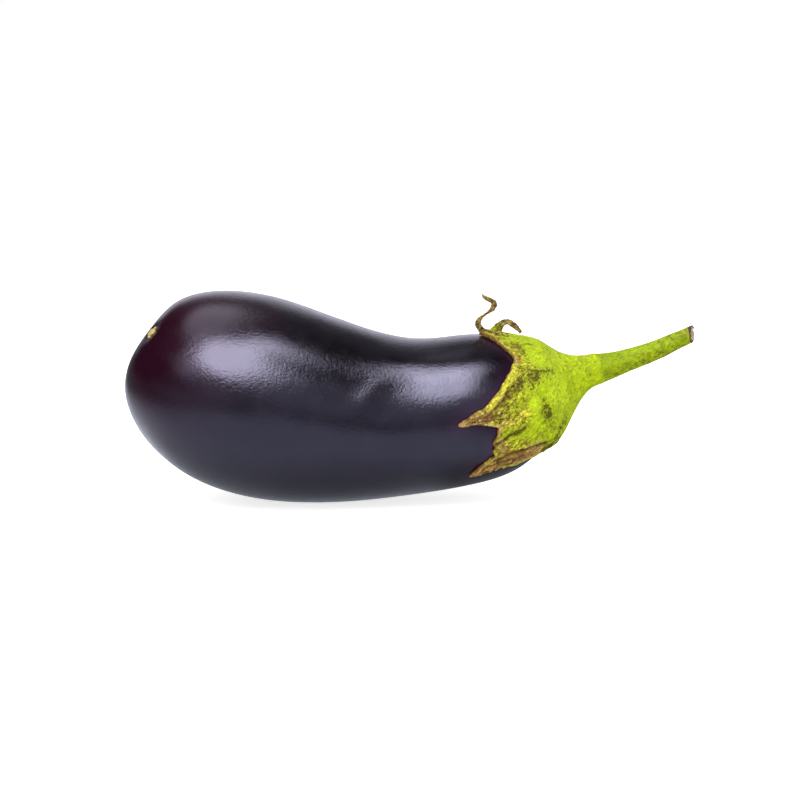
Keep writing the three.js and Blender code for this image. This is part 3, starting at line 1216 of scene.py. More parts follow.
FRONT_MARKS: tuple[Mark, ...] = (
    # the pale raised lip of the top sepal, with a fold behind it darkened by painted shade
    (STRAW, LIP_BAND, 0.5, 0.7),
    (HEIGHT, LIP_BAND, 0.8, 0.3),
    (YELLOW, ((14, 42), (24, 38), (31, 35.5)), 1.6, 0.5),
    *groove(((10, 43.4), (17, 40.4), (24, 37.8), (31, 35.2)), 0.6, 0.3, 0.3),
    (STAIN, ((21, 35.5), (27, 33.6), (34, 32.8)), 2.0, 0.75),
    (BROWN, ((26, 34.4), (31, 33.4)), 1.3, 0.45),
    *groove(((18.2, 28), (19.6, 30.6), (23, 32.8)), 0.5, 0.3, 0.35),
    (BROWN, ((36, 34.4), (41, 34.6)), 1.2, 0.65),
    (STRAW, ((38, 35.2), (44, 36.2)), 1.5, 0.8),
    (CRUMPLED, ((10, 42), (38, 34)), 4.0, 0.7),
    # the folded strip along the front sepal's upper edge
    (YELLOW, ((46, 36.2), (56, 38.2), (64, 41.2)), 2.2, 0.8),
    (YELLOW, ((62, 41.4), (70, 45.2), (78.4, 49.6)), 2.9, 1.15),
    (STRAW, ((68, 42.4), (74.4, 44.9), (80, 48.3), (83.6, 50.8)), 0.5, 0.62),
    (HEIGHT, ((68, 42.4), (74.4, 44.9), (80, 48.3)), 0.7, 0.35),
    (LIME_AND_PAINTED_LIGHT, ((46, 36), (56, 37.6), (64, 40.6), (72, 44.6), (79, 49)), 3.0, 0.9),
    (HEIGHT, ((46, 36.4), (56, 38.2), (64, 41.4), (72, 45.4), (80, 50)), 1.15, 0.5),
    *groove(UPPER_FOLD[:3], 0.6, 0.3, 0.3),
    *groove(UPPER_FOLD[2:], 0.75, 0.6, 0.62),
    (STAIN, ((70.8, 41), (64.2, 36.8), (59.3, 34.6)), 1.7, 0.66),
    (STAIN, ((78, 45.4), (71, 41.4)), 1.5, 0.6),
    (FOLD_SHADE, ((66.4, 38.4), (62, 35.8)), 1.3, 0.4),
    (CRUMPLED, ((48, 34), (66, 38), (84, 46)), 5.0, 1.0),
    (HEIGHT, ((69, 38.6), (76, 42), (84, 46.4)), 1.4, 0.45),
    # the front sepal's dried, slender tip
    (STRAW, ((86, 51.5), (86.4, 57), (88, 64)), 3.2, 1.05),
    (BROWN, ((81, 53.2), (83, 56.6), (85, 59.2)), 0.9, 0.55),
    (BROWN, ((84.5, 48), (86, 52.5)), 1.5, 0.6),
    *groove(((84.4, 59.6), (85.8, 56), (85.6, 52.4), (83.6, 49.6)), 0.4, 0.3, 0.62),
    (HEIGHT, ((83.2, 53), (85.6, 58.4), (87.8, 63)), 0.8, 0.5),
    (STRAW, ((90.2, 53), (92.6, 48.4), (94.4, 46)), 0.9, 0.8),
    (HEIGHT, ((90.2, 53), (92.6, 48.4)), 0.8, 0.3),
    *groove(((88, 58), (88.4, 52), (87.6, 47), (88.6, 42)), 0.4, 0.35, 0.62),
    *groove(((84.4, 54), (86.2, 50), (84.8, 45.6)), 0.5, 0.3, 0.5),
    (CRUMPLED, ((88, 58), (90, 38)), 4.5, 1.0),
    # stains on the front sepal's body, and painted light on its swellings and near the stem
    (STAIN, ((52.6, 29), (57.6, 28.4), (57, 30.7)), 2.7, 0.8),
    (FOLD_SHADE, ((52, 30.4), (55.4, 31.2)), 1.2, 0.35),
    (STAIN, ((62, 28.6), (65, 31)), 2.2, 0.5),
    (STAIN, ((88, 26.4), (97, 26)), 2.8, 0.7),
    (STAIN, ((98, 26), (108, 25)), 4.0, 0.35),
    (STAIN, ((83.4, 27), (79, 27.6)), 1.8, 0.36),
    (STAIN, ((50.6, 26.6), (49.4, 20.4)), 1.7, 0.52),
    (STAIN, ((76, 35), (80, 37), (86, 41)), 2.0, 0.36),
    (LIME_AND_PAINTED_LIGHT, ((87, 32.4), (80.6, 30.6)), 3.4, 1.0),
    (HEIGHT, ((87, 32.4), (81, 31)), 3.2, 0.8),
    (LIME_AND_PAINTED_LIGHT, ((94, 33), (99, 31)), 2.2, 0.6),
    # these three lime marks are painted light, lifting the shade near the stem and under the calyx's neck
    (LIME_AND_PAINTED_LIGHT, ((40, 26), (60, 20)), 6.0, 0.6),
    (LIME_AND_PAINTED_LIGHT, ((72, 17), (84, 15)), 6.0, 0.8),
    (LIME_AND_PAINTED_LIGHT, ((81, 24.4), (74, 21.6)), 3.6, 1.0),
    (YELLOW, ((82, 44), (91, 45), (92, 42), (86, 36)), 3.4, 0.78),
    (STRAW, ((84, 46), (90, 43.6)), 2.8, 0.42),
    (HEIGHT, ((92, 43),), 2.6, 0.4),
    # the cheek between the two front sepals, and its diagonal fold darkened by painted shade
    *groove(CHEEK_FOLD, 0.85, 0.65, 0.58),
    (HEIGHT, ((103.6, 47.6), (100.8, 43), (97.6, 37)), 1.0, 0.45),
    (STAIN, ((103.6, 46), (101, 41), (97, 36)), 1.6, 0.5),
    (HEIGHT, ((109, 43.5), (107, 38.5), (107, 33)), 3.0, 0.75),
    (LIME_AND_PAINTED_LIGHT, ((109, 41), (108, 36), (109, 32.6)), 2.4, 0.55),
    (STAIN, ((111, 36), (112, 30)), 2.2, 0.34),
    (STRAW, ((96.5, 47), (102, 48.6), (106, 49.4)), 1.2, 0.7),
    (BROWN, ((104, 50), (110, 49.8), (117, 48.8)), 1.5, 0.7),
    (STRAW, ((106, 48), (117, 46.4)), 2.6, 0.7),
    (YELLOW, ((109, 45), (114, 43)), 2.2, 0.7),
    (CRUMPLED, ((104, 49), (112, 44), (116, 38)), 4.5, 1.0),
    # the lower sepal: dried to rust brown below its torn fold
    *groove(LOWER_FOLD, 0.75, 1.0, 0.9),
    (FOLD_SHADE, ((120.4, 41), (121.4, 38.4)), 1.2, 0.95),
    (FOLD_SHADE, ((129, 41), (131, 34)), 2.8, 0.4),
    (HEIGHT, ((120.4, 41), (121.4, 38.4)), 1.0, -0.9),
    (BROWN, ((131, 57), (128, 53), (126.6, 46), (126, 40)), 2.8, 0.5),
    (STRAW, ((136, 63), (129, 56), (126, 48), (127, 41), (128, 34)), 4.6, 1.0),
    (STAIN, ((127.8, 41), (129.6, 36), (131.6, 31), (138, 26)), 2.7, 1.0),
    (BROWN, ((117, 46.5), (118.4, 43.5), (118.8, 40.5)), 1.8, 0.6),
    (HEIGHT, ((132, 58), (128, 50), (127, 43), (128.4, 36)), 1.3, 0.6),
    *groove(((134.4, 60), (132, 55), (130.2, 50), (131.4, 44)), 0.42, 0.35, 0.65),
    *groove(((129, 57), (125.6, 50), (126.2, 43)), 0.42, 0.3, 0.62),
    (CRUMPLED, ((134, 58), (126, 46), (128, 34)), 5.0, 1.0),
    (STAIN, ((122, 16), (127, 21), (134, 23.5)), 3.6, 0.62),
    (STAIN, ((150, 22), (165, 18.5)), 2.8, 0.62),
)


@dataclass
class Calyx:
    """The leafy cap: a thick cone round the stem that spreads into sepals lying on the skin.

    Each point of the margin has an angle, a reach and a root, the angle at which its vein leaves
    the cone. The margin is evened over the evening lengths, one each for angle, reach and root,
    and torn by rags: the size, the share and the shift of each random ripple. Heights of wrinkles
    are a base and what is added where the leaf lies free or dry, and where it is crumpled.
    """

    surface: FruitSurface
    margin_points: tuple[Place, ...] = (
        # top sepal, whose tip has curled up off the skin
        (-6, 43.8, -4), (-1, 46.6, 0), (3, 49, 4), (7, 47.4, 8), (10.9, 45.8, 12),
        (17, 43.4, 18), (23.2, 41, 24), (30.5, 38.4, 31), (38.4, 35.8, 39),
        # front sepal
        (45, 37.2, 45), (52, 39.2, 51), (60, 42, 57), (69.2, 46, 63), (76, 49.8, 68),
        (79.2, 52.2, 71), (80.4, 55, 73), (82.8, 57.4, 75), (85, 59.2, 77), (86.2, 61.6, 79),
        (88, 63.4, 81), (90.2, 62.8, 83), (90.4, 59.6, 85), (90, 56.2, 87), (91.6, 51.6, 90),
        (94.2, 47.6, 94),
        # cheek between the two front sepals
        (100, 47.8, 99), (104.5, 49.6, 102.5), (107.4, 50.4, 105.5), (111, 49.9, 108.5),
        (114, 51.1, 111), (118.6, 50.1, 114),
        # lower sepal
        (121.6, 53, 116), (125, 55.8, 118), (129.4, 58.4, 120), (133.2, 60.4, 121.4),
        (137, 62.4, 122.6), (135.8, 59, 124.6), (134.2, 54.6, 126.6), (133.2, 50, 128.6),
        (134.2, 46.4, 130.6), (135.6, 43, 132.4), (136.6, 38.8, 134.4), (137, 34.2, 137),
        (138.4, 30.4, 140), (142, 27, 144), (149, 24.4, 151), (160, 21.6, 161),
        (174, 19.8, 174),
        # far sepals
        (184, 21, 183), (192, 28.5, 190), (200, 41, 197), (207, 51, 203), (212, 55.6, 208),
        (216, 50.5, 213), (222, 42.5, 219), (230, 36.4, 228), (238, 34, 238), (245, 38.5, 245),
        (252, 46, 251), (259, 56.5, 257), (263.5, 61, 262), (268, 54.5, 268), (276, 44.5, 276),
        (286, 37.5, 286), (299, 34, 299), (311, 36.6, 311), (323, 40.6, 322), (333, 44.2, 332),
        (340, 46.6, 340), (346, 44, 347),
    )
    degree_length: float = 0.6
    evening: Place = (0.8, 0.8, 6.0)
    gap: float = 0.42
    inner_gap: float = 0.3
    inner_end: float = 1.0
    pole_reach: float = 0.8
    body: float = 3.2
    sepal: float = 1.0
    thinning: Spot = (22.0, 40.0)
    hug_end: float = 24.0
    hug_share: float = 0.75
    hug_evening: float = 8.0
    neck_starts: tuple[Spot, ...] = ((0.05, -0.4), (0.035, 0.0))
    neck_lift: float = 0.1
    neck_pull: Spot = (0.44, 0.3)
    sag: float = 0.08
    sag_at_stem: float = 1.4
    cone_reach: float = -25.0
    root_bend: float = 1.15
    margin_crowding: float = 1.5
    inner_crowding: float = 1.3
    columns: int = 720
    neck_rows: int = 26
    sepal_rows: int = 78
    inner_rows: int = 12
    settled_rows: Spot = (2.0, 9.0)
    rag: float = 0.28
    rags: tuple[Place, ...] = ((2.3, 1.0, 0.0), (0.9, 0.6, 40.0))
    rag_free_end: float = 6.0
    rim: float = 0.55
    rim_thickness: float = 0.7
    pit_depths: dict[int, float] = field(default_factory=lambda: {5: 0.2, 30: 0.42})
    dry_rims: tuple[tuple[Trait, float, float], ...] = ((STRAW, 0.52, 0.55), (BROWN, 0.8, 0.3))
    crumpled_share: float = 0.55
    crumpled_reach: Spot = (22.0, 42.0)
    crumpled_rim: Spot = (-11.0, -2.0)
    free_reach: Spot = (6.0, 34.0)
    wave_size: float = 8.0
    wave_height: Spot = (0.4, 0.6)
    wave_share: float = 0.3
    vein_pitch: Spot = (2.1, 9.0)
    vein_height: Spot = (0.08, 0.14)
    crumple_size: float = 2.8
    crumple_height: Place = (0.04, 0.1, 0.8)
    fine_size: float = 1.3
    fine_shift: float = 50.0
    fine_height: Place = (0.03, 0.06, 0.26)
    lip_width: float = 0.7
    lip_height: Spot = (0.15, 0.45)
    lip_wave: Spot = (0.5, 0.6)
    lip_wave_size: float = 3.0
    seed: int = 11
    marks: tuple[Mark, ...] = FRONT_MARKS
    far_tips: tuple[Spot, ...] = ((212, 55.6), (263.5, 61), (340, 46.6))
    far_rib: tuple[Spot, ...] = ((-4, 26), (-3, 32), (1, 38), (2, 43))
    far_stains: int = 10

    def __post_init__(self) -> None:
        """Lays out the margin in even columns, with its small tears."""
        knots = np.array([*self.margin_points, self.margin_points[0]], float)
        knots[-1, [0, 2]] += 360
        flat = knots[:, :2] * (self.degree_length, 1.0)
        travelled = np.concatenate([[0], np.cumsum(np.linalg.norm(np.diff(flat, axis=0), axis=1))])
        self.pitch = travelled[-1] / self.columns
        stations = np.arange(self.columns) * self.pitch
        self.angle, self.reach, self.root = (
            self.rounded(np.interp(stations, travelled, column), column[-1] - column[0], width)
            for column, width in zip(knots.T, self.evening))
        walk = np.stack([stations, np.zeros(self.columns)], axis=-1)
        to_end = np.minimum(stations, travelled[-1] - stations)
        tears = self.rag * Grain(self.seed).ripples(walk, self.rags)
        self.reach += smoothstep(to_end, 0, self.rag_free_end) * tears
        leave = np.minimum(self.hug_end, self.hug_share * self.reach)
        self.leave = self.rounded(leave, 0.0, self.hug_evening)
        self.walk = stations

    def rounded(self, values: Array, turn: float, width: float) -> Array:
        """Evens out values along the margin.

        Args:
            values: one value a column.
            turn: what a whole round adds to the value.
            width: length of margin over which they are averaged, in millimetres.

        Returns:
            The evened values.
        """
        reach = max(1, round(width / self.pitch))
        weights = np.hanning(2 * reach + 3)[1:-1]
        weights /= weights.sum()
        wrapped = np.concatenate([values[-reach:] - turn, values, values[:reach] + turn])
        return np.convolve(wrapped, weights, mode="valid")

    def thickness(self, reach: Array) -> Array:
        """Thickness of the leaf at reaches from the shoulder point."""
        thinned = smoothstep(reach, *self.thinning)
        return self.body + (self.sepal - self.body) * thinned

    def margin(self) -> Array:
        """Points of the margin, in millimetres."""
        return self.surface.above(self.angle, self.reach, self.gap)

    def build(self, stem: "Stem") -> Piece:
        """Makes the calyx.

        Args:
            stem: the stem that the cap's neck meets.

        Returns:
            The dressed piece.
        """
        outside, reach = self.outer_rows(stem)
        upper_edge = self.surface.above(self.angle, self.reach, self.gap + self.sepal)
        rim = nearest(outside, upper_edge)[1]
        masks, height = self.paint(outside, reach, rim)
        rounding = np.sqrt(np.clip(1 - (1 - np.clip(rim / self.rim, 0, 1)) ** 2, 0, 1))
        sink = self.thickness(reach) * self.rim_thickness * (1 - rounding) * (reach > 0)
        settled = smoothstep(np.arange(len(outside)), *self.settled_rows)[:, None]
        lift = height * settled - sink
        outside = outside + self.grid_normals(outside) * lift[..., None]
        inside = self.inner_rows_grid()
        masks = {mask: np.concatenate([values, np.repeat(values[-1:], len(inside), axis=0)])
                 for mask, values in masks.items()}
        top, bottom = (self.surface.above(angle, self.pole_reach, self.inner_gap) for angle in (0, 180))
        poles = (stem.place(self.neck_starts[0][0]), (top + bottom) / 2)
        grid = np.concatenate([outside, inside])
        piece = closed_mesh("calyx_leaf", grid, poles, masks, LeafFinish().make())
        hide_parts("calyx")
        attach(piece, BODY)
        return piece

    def outer_rows(self, stem: "Stem") -> tuple[Array, Array]:
        """The outside from inside the stem's foot to the margin, before wrinkles.

        Args:
            stem: the stem that the cap's neck meets.

        Returns:
            Points and reaches of rows and columns. On the cone the reach is negative.
        """
        lead = [stem.ring(share, self.root, extra) for share, extra in self.neck_starts]
        ring = stem.ring(0.0, self.root, self.neck_lift)
        start = self.gap + self.thickness(self.leave)
        leave = self.surface.above(self.root, self.leave, start)
        ahead = unit(self.surface.above(self.root, self.leave - 1, start) - leave)
        pull = np.linalg.norm(leave - ring, axis=-1, keepdims=True)
        sag = self.sag * np.cos(np.radians(self.root))[:, None]
        near = ring - stem.direction(0.0) * pull * (self.neck_pull[0] + self.sag_at_stem * sag)
        far = leave + ahead * pull * (self.neck_pull[1] - sag)
        late = np.linspace(0, 1, self.neck_rows)[:, None, None]
        early = 1 - late
        cone = (early**3 * ring + 3 * early**2 * late * near
                + 3 * early * late**2 * far + late**3 * leave)
        even = np.arange(1, self.sepal_rows + 1) / self.sepal_rows
        share = (1 - (1 - even) ** self.margin_crowding)[:, None]
        angle, reach = self.fan_out(self.leave, share)
        hug = self.surface.above(angle, reach, self.gap + self.thickness(reach))
        outside = np.concatenate([np.array(lead), cone, hug])
        rows = len(lead) + len(cone)
        cone_reach = np.repeat(np.linspace(self.cone_reach, 0, rows)[:, None], self.columns, axis=1)
        return outside, np.concatenate([cone_reach, reach])

    def fan_out(self, start: Array | float, share: Array) -> tuple[Array, Array]:
        """Angles and reaches of rows at shares of the way from a starting reach to the margin."""
        angle = self.root + (self.angle - self.root) * share**self.root_bend
        return angle, start + (self.reach - start) * share

    def inner_rows_grid(self) -> Array:
        """The underside, from the margin back to the shoulder.

        Returns:
            Its points, as rows and columns.
        """
        even = np.arange(self.inner_rows) / (self.inner_rows - 1)
        share = (1 - even**self.inner_crowding)[:, None]
        return self.surface.above(*self.fan_out(self.inner_end, share), self.inner_gap)

    def grid_normals(self, grid: Array) -> Array:
        """Outward directions of a grid that joins itself sideways.

        Args:
            grid: its points, as rows and columns.

        Returns:
            One unit direction a point.
        """
        down = np.gradient(grid, axis=0)
        across = (np.roll(grid, -1, axis=1) - np.roll(grid, 1, axis=1)) / 2
        return unit(np.cross(across, -down))

    def paint(self, places: Array, reach: Array, rim: Array) -> tuple[Masks, Array]:
        """Lays the marks and wrinkles on the outside.

        Args:
            places: the outside's points.
            reach: their reaches.
            rim: their distances to the margin.

        Returns:
            The painted values by name, and the height of the relief.
        """
        masks = {trait.value: np.zeros(places.shape[:2]) for trait in Trait}
        marked = masks.pop("height")
        for trait, path, radius, amount in (*self.marks, *self.far_marks()):
            line = np.array([
                self.surface.above(a, r, self.gap + self.thickness(np.array(r))) for a, r in path])
            strength = amount * fade(distance_to_path(places, line), radius)
            if trait is HEIGHT:
                marked += strength
            else:
                masks[trait.value] = np.maximum(masks[trait.value], strength)
        for trait, share, width in self.dry_rims:
            masks[trait.value] = np.maximum(masks[trait.value], share * fade(rim, width))
        near_rim = smoothstep(-rim, *self.crumpled_rim)
        near_rim = self.crumpled_share * smoothstep(reach, *self.crumpled_reach) * near_rim
        masks["crumpled"] = np.clip(np.maximum(masks["crumpled"], near_rim), 0, 1)
        height = marked + self.wrinkles(places, reach, rim, masks)
        # painted shade for the leaf's hollows
        masks["pit"] = self.pits(height)
        return masks, height

    def pits(self, height: Array) -> Array:
        """How deep each place lies under those around it, which keeps light out.

        Args:
            height: the relief, as rows and columns.

        Returns:
            One depth a place, 0 to 1.
        """
        around = height
        depth = np.zeros_like(height)
        for smoothing in range(1, max(self.pit_depths) + 1):
            around = (np.roll(around, 1, 1) + np.roll(around, -1, 1) + 2 * around) / 4
            around[1:-1] = (around[:-2] + around[2:] + 2 * around[1:-1]) / 4
            if smoothing in self.pit_depths:
                depth = np.maximum(depth, (around - height) / self.pit_depths[smoothing])
        return np.clip(depth, 0, 1)

    def wrinkles(self, places: Array, reach: Array, rim: Array, masks: Masks) -> Array:
        """Height of the leaf's wrinkles.

        Args:
            places: the outside's points.
            reach: their reaches.
            rim: their distances to the margin.
            masks: the values painted there.

        Returns:
            One height a point: waves, veins, crumples, fine grain and the lip along the rim.
        """
        grain = Grain(self.seed + 1)
        columns, rows = np.broadcast_arrays(self.walk[None], reach)
        stretched = np.stack([columns, rows], axis=-1) / self.vein_pitch
        free = smoothstep(reach, *self.free_reach)
        dry = np.clip(masks["straw"] + masks["brown"], 0, 1)
        crumpled = masks["crumpled"]
        waves = self.wave_share * grain.at(places, self.wave_size) * grow(self.wave_height, free)
        veins = grow(self.vein_height, dry) * free * (grain.ridges(stretched, 1.0) - 0.5)
        crests = grain.ridges(places, self.crumple_size) - 0.6
        crumples = grow(self.crumple_height, free, crumpled) * crests
        fine = grain.at(places + self.fine_shift, self.fine_size)
        fine = grow(self.fine_height, free, crumpled) * fine
        lip = grow(self.lip_height, crumpled) * fade(rim - self.lip_width, self.lip_width)
        lip = lip * grow(self.lip_wave, grain.at(places, self.lip_wave_size))
        return waves + veins + crumples + fine + lip

    def far_marks(self) -> list[Mark]:
        """Midribs, dried tips, folds and stains of the sepals on the far side.

        Returns:
            The marks.
        """
        marks = []
        draw = np.random.default_rng(self.seed + 2)
        for tip_angle, tip_reach in self.far_tips:
            rib = tuple((tip_angle + bend, r) for bend, r in (*self.far_rib, (0, tip_reach)))
            marks.append((HEIGHT, rib, 1.2, 0.5))
            marks += groove(tuple((a + 4.5, r - 1) for a, r in rib), 0.6, 0.35, 0.5)
            dried = ((tip_angle, tip_reach - 7), (tip_angle, tip_reach))
            marks.append((STRAW, dried, 2.4, 1.0))
            marks.append((BROWN, ((tip_angle + 2, tip_reach - 3),), 2.0, 0.8))
        for _ in range(self.far_stains):
            spot = (draw.uniform(185, 355), draw.uniform(18, 36))
            end = (spot[0] + draw.uniform(-4, 4), spot[1] + draw.uniform(-9, 9))
            marks.append((STAIN, (spot, end), draw.uniform(1.8, 3.6), draw.uniform(0.35, 0.66)))
            glow = (spot[0] + draw.uniform(6, 12), spot[1] + 3)
            marks.append((LIME_AND_PAINTED_LIGHT, (glow,), draw.uniform(1.8, 3.2), draw.uniform(0.5, 0.9)))
        return marks


# Pieces swept along a path by geometry nodes


@dataclass(frozen=True)
class Section:
    """The section of a swept piece, with a field for each of the sweeping tree's inputs.

    Thickness, rib height and fold are shares of half its width, and crumples are in metres.
    """

    thickness: float = 1.0
    ribs: int = 5
    rib_height: float = 0.018
    fold: float = 0.0
    crumple: float = 0.3 * MM
    crumple_size: float = 4.5 * MM
    sides: int = 72


class SweepTree:
    """A geometry node tree that sweeps a ribbed or folded section along a polyline."""

    INPUTS = {
        "Float": ("thickness", "rib_height", "fold", "crumple", "crumple_size"),
        "Int": ("ribs", "sides"),
        "Material": ("finish",),
    }

    def __init__(self) -> None:
        """Builds the tree."""
        self.tree = bpy.data.node_groups.new("sweep_along_path", "GeometryNodeTree")
        face = self.tree.interface
        face.new_socket("Geometry", in_out="INPUT", socket_type="NodeSocketGeometry")
        self.sockets = {
            name: face.new_socket(name, in_out="INPUT", socket_type="NodeSocket" + kind).identifier
            for kind, names in self.INPUTS.items() for name in names}
        face.new_socket("Geometry", in_out="OUTPUT", socket_type="NodeSocketGeometry")
        self.nodes = Nodes(self.tree)
        self._wire()

    def _wire(self) -> None:
        """Adds the nodes: line to curve, section, sweep, crumple, material."""
        nodes = self.nodes
        given = nodes.add("NodeGroupInput").outputs
        kind = "GeometryNodeInputNamedAttribute"
        across = nodes.wire(kind, {"Name": "across"}, data_type="FLOAT_VECTOR")
        girth = nodes.wire(kind, {"Name": "girth"}, data_type="FLOAT")
        curve = nodes.wire("GeometryNodeMeshToCurve", {"Mesh": given["Geometry"]})
        facing = nodes.wire("GeometryNodeSetCurveNormal", {"Curve": curve, "Normal": across}, mode="FREE")
        swept = nodes.wire("GeometryNodeCurveToMesh", {
            "Curve": facing, "Profile Curve": self._section(given), "Scale": girth,
            "Fill Caps": True})
        rough = self._crumple(swept, given)
        smooth = nodes.wire("GeometryNodeSetShadeSmooth", {"Geometry": rough})
        real = nodes.wire("GeometryNodeRealizeInstances", {"Geometry": smooth})
        feeds = {"Geometry": real, "Material": given["finish"]}
        dressed = nodes.wire("GeometryNodeSetMaterial", feeds)
        nodes.fill(nodes.add("NodeGroupOutput"), {"Geometry": dressed})

    def _section(self, given: bpy.types.bpy_prop_collection) -> Socket:
        """The section: a circle made oval, ribbed and folded.

        Args:
            given: the tree's inputs.

        Returns:
            The section's curve.
        """
        nodes = self.nodes
        feeds = {"Resolution": given["sides"], "Radius": 1.0}
        round_one = nodes.wire("GeometryNodeCurvePrimitiveCircle", feeds, mode="RADIUS")
        place = nodes.add("ShaderNodeSeparateXYZ")
        nodes.fill(place, {0: nodes.add("GeometryNodeInputPosition").outputs[0]})
        x, y = place.outputs[0], place.outputs[1]
        wave = nodes.math("COSINE", nodes.times(nodes.math("ARCTAN2", y, x), given["ribs"]))
        rib = nodes.math("ADD", nodes.times(wave, given["rib_height"]), 1.0)
        fold = nodes.times(nodes.math("POWER", nodes.math("ABSOLUTE", x), 2.0), given["fold"])
        wide = nodes.times(x, rib)
        thick = nodes.math("ADD", nodes.times(y, rib, given["thickness"]), fold)
        moved = nodes.wire("ShaderNodeCombineXYZ", {0: wide, 1: thick})
        return nodes.wire("GeometryNodeSetPosition", {"Geometry": round_one, "Position": moved})

    def _crumple(self, mesh: Socket, given: bpy.types.bpy_prop_collection) -> Socket:
        """Pushes the surface in and out with noise.

        Args:
            mesh: the swept surface.
            given: the tree's inputs.

        Returns:
            The crumpled surface.
        """
        nodes = self.nodes
        feeds = {"Scale": nodes.math("DIVIDE", 1.0, given["crumple_size"]), "Detail": 3.0}
        noise = nodes.wire("ShaderNodeTexNoise", feeds)
        push = nodes.times(nodes.math("SUBTRACT", noise, 0.5), given["crumple"])
        offset = nodes.scaled(nodes.add("GeometryNodeInputNormal").outputs[0], push)
        return nodes.wire("GeometryNodeSetPosition", {"Geometry": mesh, "Offset": offset})

    def sweep(
        self, name: str, path: Array, across: Array, girth: Array, section: Section, finish: Material
    ) -> Piece:
        """Sweeps a piece, and turns it into a plain mesh without the modifier.

        Args:
            name: the piece's name.
            path: points of the middle line, in millimetres.
            across: direction of the section's width at each point.
            girth: half the section's width at each point, in millimetres.
            section: the section swept along it.
            finish: the piece's material.

        Returns:
            The piece.
        """
        line = bpy.data.meshes.new(name + "_line")
        links = [[i, i + 1] for i in range(len(path) - 1)]
        line.from_pydata((path * MM).tolist(), links, [])
        layer = line.attributes.new("across", "FLOAT_VECTOR", "POINT")
        layer.data.foreach_set("vector", across.ravel())
        paint_mesh(line, {"girth": girth * MM})
        carrier = add_object(name + "_line", line)
        modifier = carrier.modifiers.new("sweep", "NODES")
        modifier.node_group = self.tree
        for key, value in {**vars(section), "finish": finish}.items():
            modifier[self.sockets[key]] = value
        bpy.context.view_layer.update()
        seen = carrier.evaluated_get(bpy.context.evaluated_depsgraph_get())
        mesh = bpy.data.meshes.new_from_object(seen)
        mesh.name = name
        bpy.data.objects.remove(carrier)
        return add_object(name, mesh)


@dataclass
class Stem:
    """The stem: a bent, faintly ribbed stalk with a torn cut end.

    Each streak is a path, a radius and a share, for the olive stain on the front and the painted
    shade along the underside. Brown fades in over brown_width at brown_from, and the olive over the
    olive distances, both measured from the cut.
    """

    path: tuple[Place, ...] = (
        (78.6, 5, 54.9), (84.6, 5.3, 56.4), (91.4, 5.8, 58.5), (98.1, 6.3, 60.7),
        (104.8, 6.9, 63.2), (111.5, 7.5, 66.2), (119.0, 8, 69.4),
    )
    radii: tuple[float, ...] = (6.6, 5.35, 4.7, 4.3, 4.0, 3.65, 3.3)
    section: Section = Section()
    stations: int = 150
    per_span: int = 40
    knot_spacing: float = 40.0
    step: float = 0.01
    cut_from: float = 0.955
    # the first streak is an olive stain on the front, the second is painted shade along the underside
    streaks: tuple[tuple[tuple[Place, ...], float, float], ...] = (
        (((95.5, 1.6, 58.6), (103.8, 2.2, 61.8), (107, 2.6, 64)), 2.6, 0.52),
        (((86, 1, 53.5), (97, 2.5, 56.4), (112, 4.4, 63)), 3.2, 0.42),
    )
    brown_from: float = 3.2
    brown_width: float = 1.3
    brown_end: float = 6.0
    brown_share: float = 0.85
    olive: Spot = (30.0, 6.0)
    olive_share: float = 0.28

    def __post_init__(self) -> None:
        """Draws the middle line and the radius along it."""
        self._line = Rail(Spline(np.array(self.path)).sample(self.per_span))
        knots = np.linspace(0, self.knot_spacing, len(self.radii))
        radii = Spline(np.stack([knots, self.radii], axis=-1)).sample(self.per_span)
        self._radii = (radii[:, 0] / self.knot_spacing, radii[:, 1])

    def place(self, share: Array | float) -> Array:
        """Points of the middle line at shares of its length."""
        return self._line.at(share)

    def direction(self, share: Array | float) -> Array:
        """Directions of the middle line at shares of its length."""
        low, high = np.clip([share - self.step, share + self.step], 0, 1)
        return unit(self.place(high) - self.place(low))

    def radius(self, share: Array | float) -> Array:
        """Radii at shares of the length."""
        return np.interp(share, *self._radii)

    def ring(self, share: float, angle: Array, extra: float = 0.0) -> Array:
        """Points round the stem.

        Args:
            share: share of its length.
            angle: angles from the top towards -Y.
            extra: distance off its surface.

        Returns:
            One point an angle.
        """
        side, top = axes_along(self.direction(share))
        turn = np.radians(angle)[..., None]
        radius = self.radius(share) + extra
        return self.place(share) + radius * (np.cos(turn) * top + np.sin(turn) * side)

    def build(self, tree: SweepTree, finish: Material) -> Piece:
        """Makes the stalk up to the cut.

        Args:
            tree: the tree that sweeps it.
            finish: the material of its bark.

        Returns:
            The dressed piece.
        """
        shares = np.linspace(0.0, self.cut_from, self.stations)
        across = axes_along(self.direction(shares))[0]
        piece = tree.sweep("stem_stalk", self.place(shares), across, self.radius(shares),
                           self.section, finish)
        self.stain_and_shade(piece.data)
        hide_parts("stem")
        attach(piece, BODY)
        return piece

    def stain_and_shade(self, mesh: Mesh) -> None:
        """Paints the olive streak on the front, painted shade along the underside, and the darkening
        towards the cut.

        Args:
            mesh: the stalk's mesh.
        """
        places = mesh_places(mesh) / MM
        from_end = np.linalg.norm(places - self.place(1.0), axis=-1)
        masks = {name: np.zeros(len(places)) for name in LEAF_MASKS}
        stain_and_shade = self.olive_share * smoothstep(-from_end, -self.olive[0], -self.olive[1])
        for path, radius, share in self.streaks:
            stain_and_shade = np.maximum(stain_and_shade, share * fade(distance_to_path(places, np.array(path)), radius))
        masks["stain_and_shade"] = stain_and_shade
        brown = self.brown_share * fade(from_end - self.brown_from, self.brown_width)
        masks["brown"] = brown * (from_end < self.brown_end)
        paint_mesh(mesh, masks)


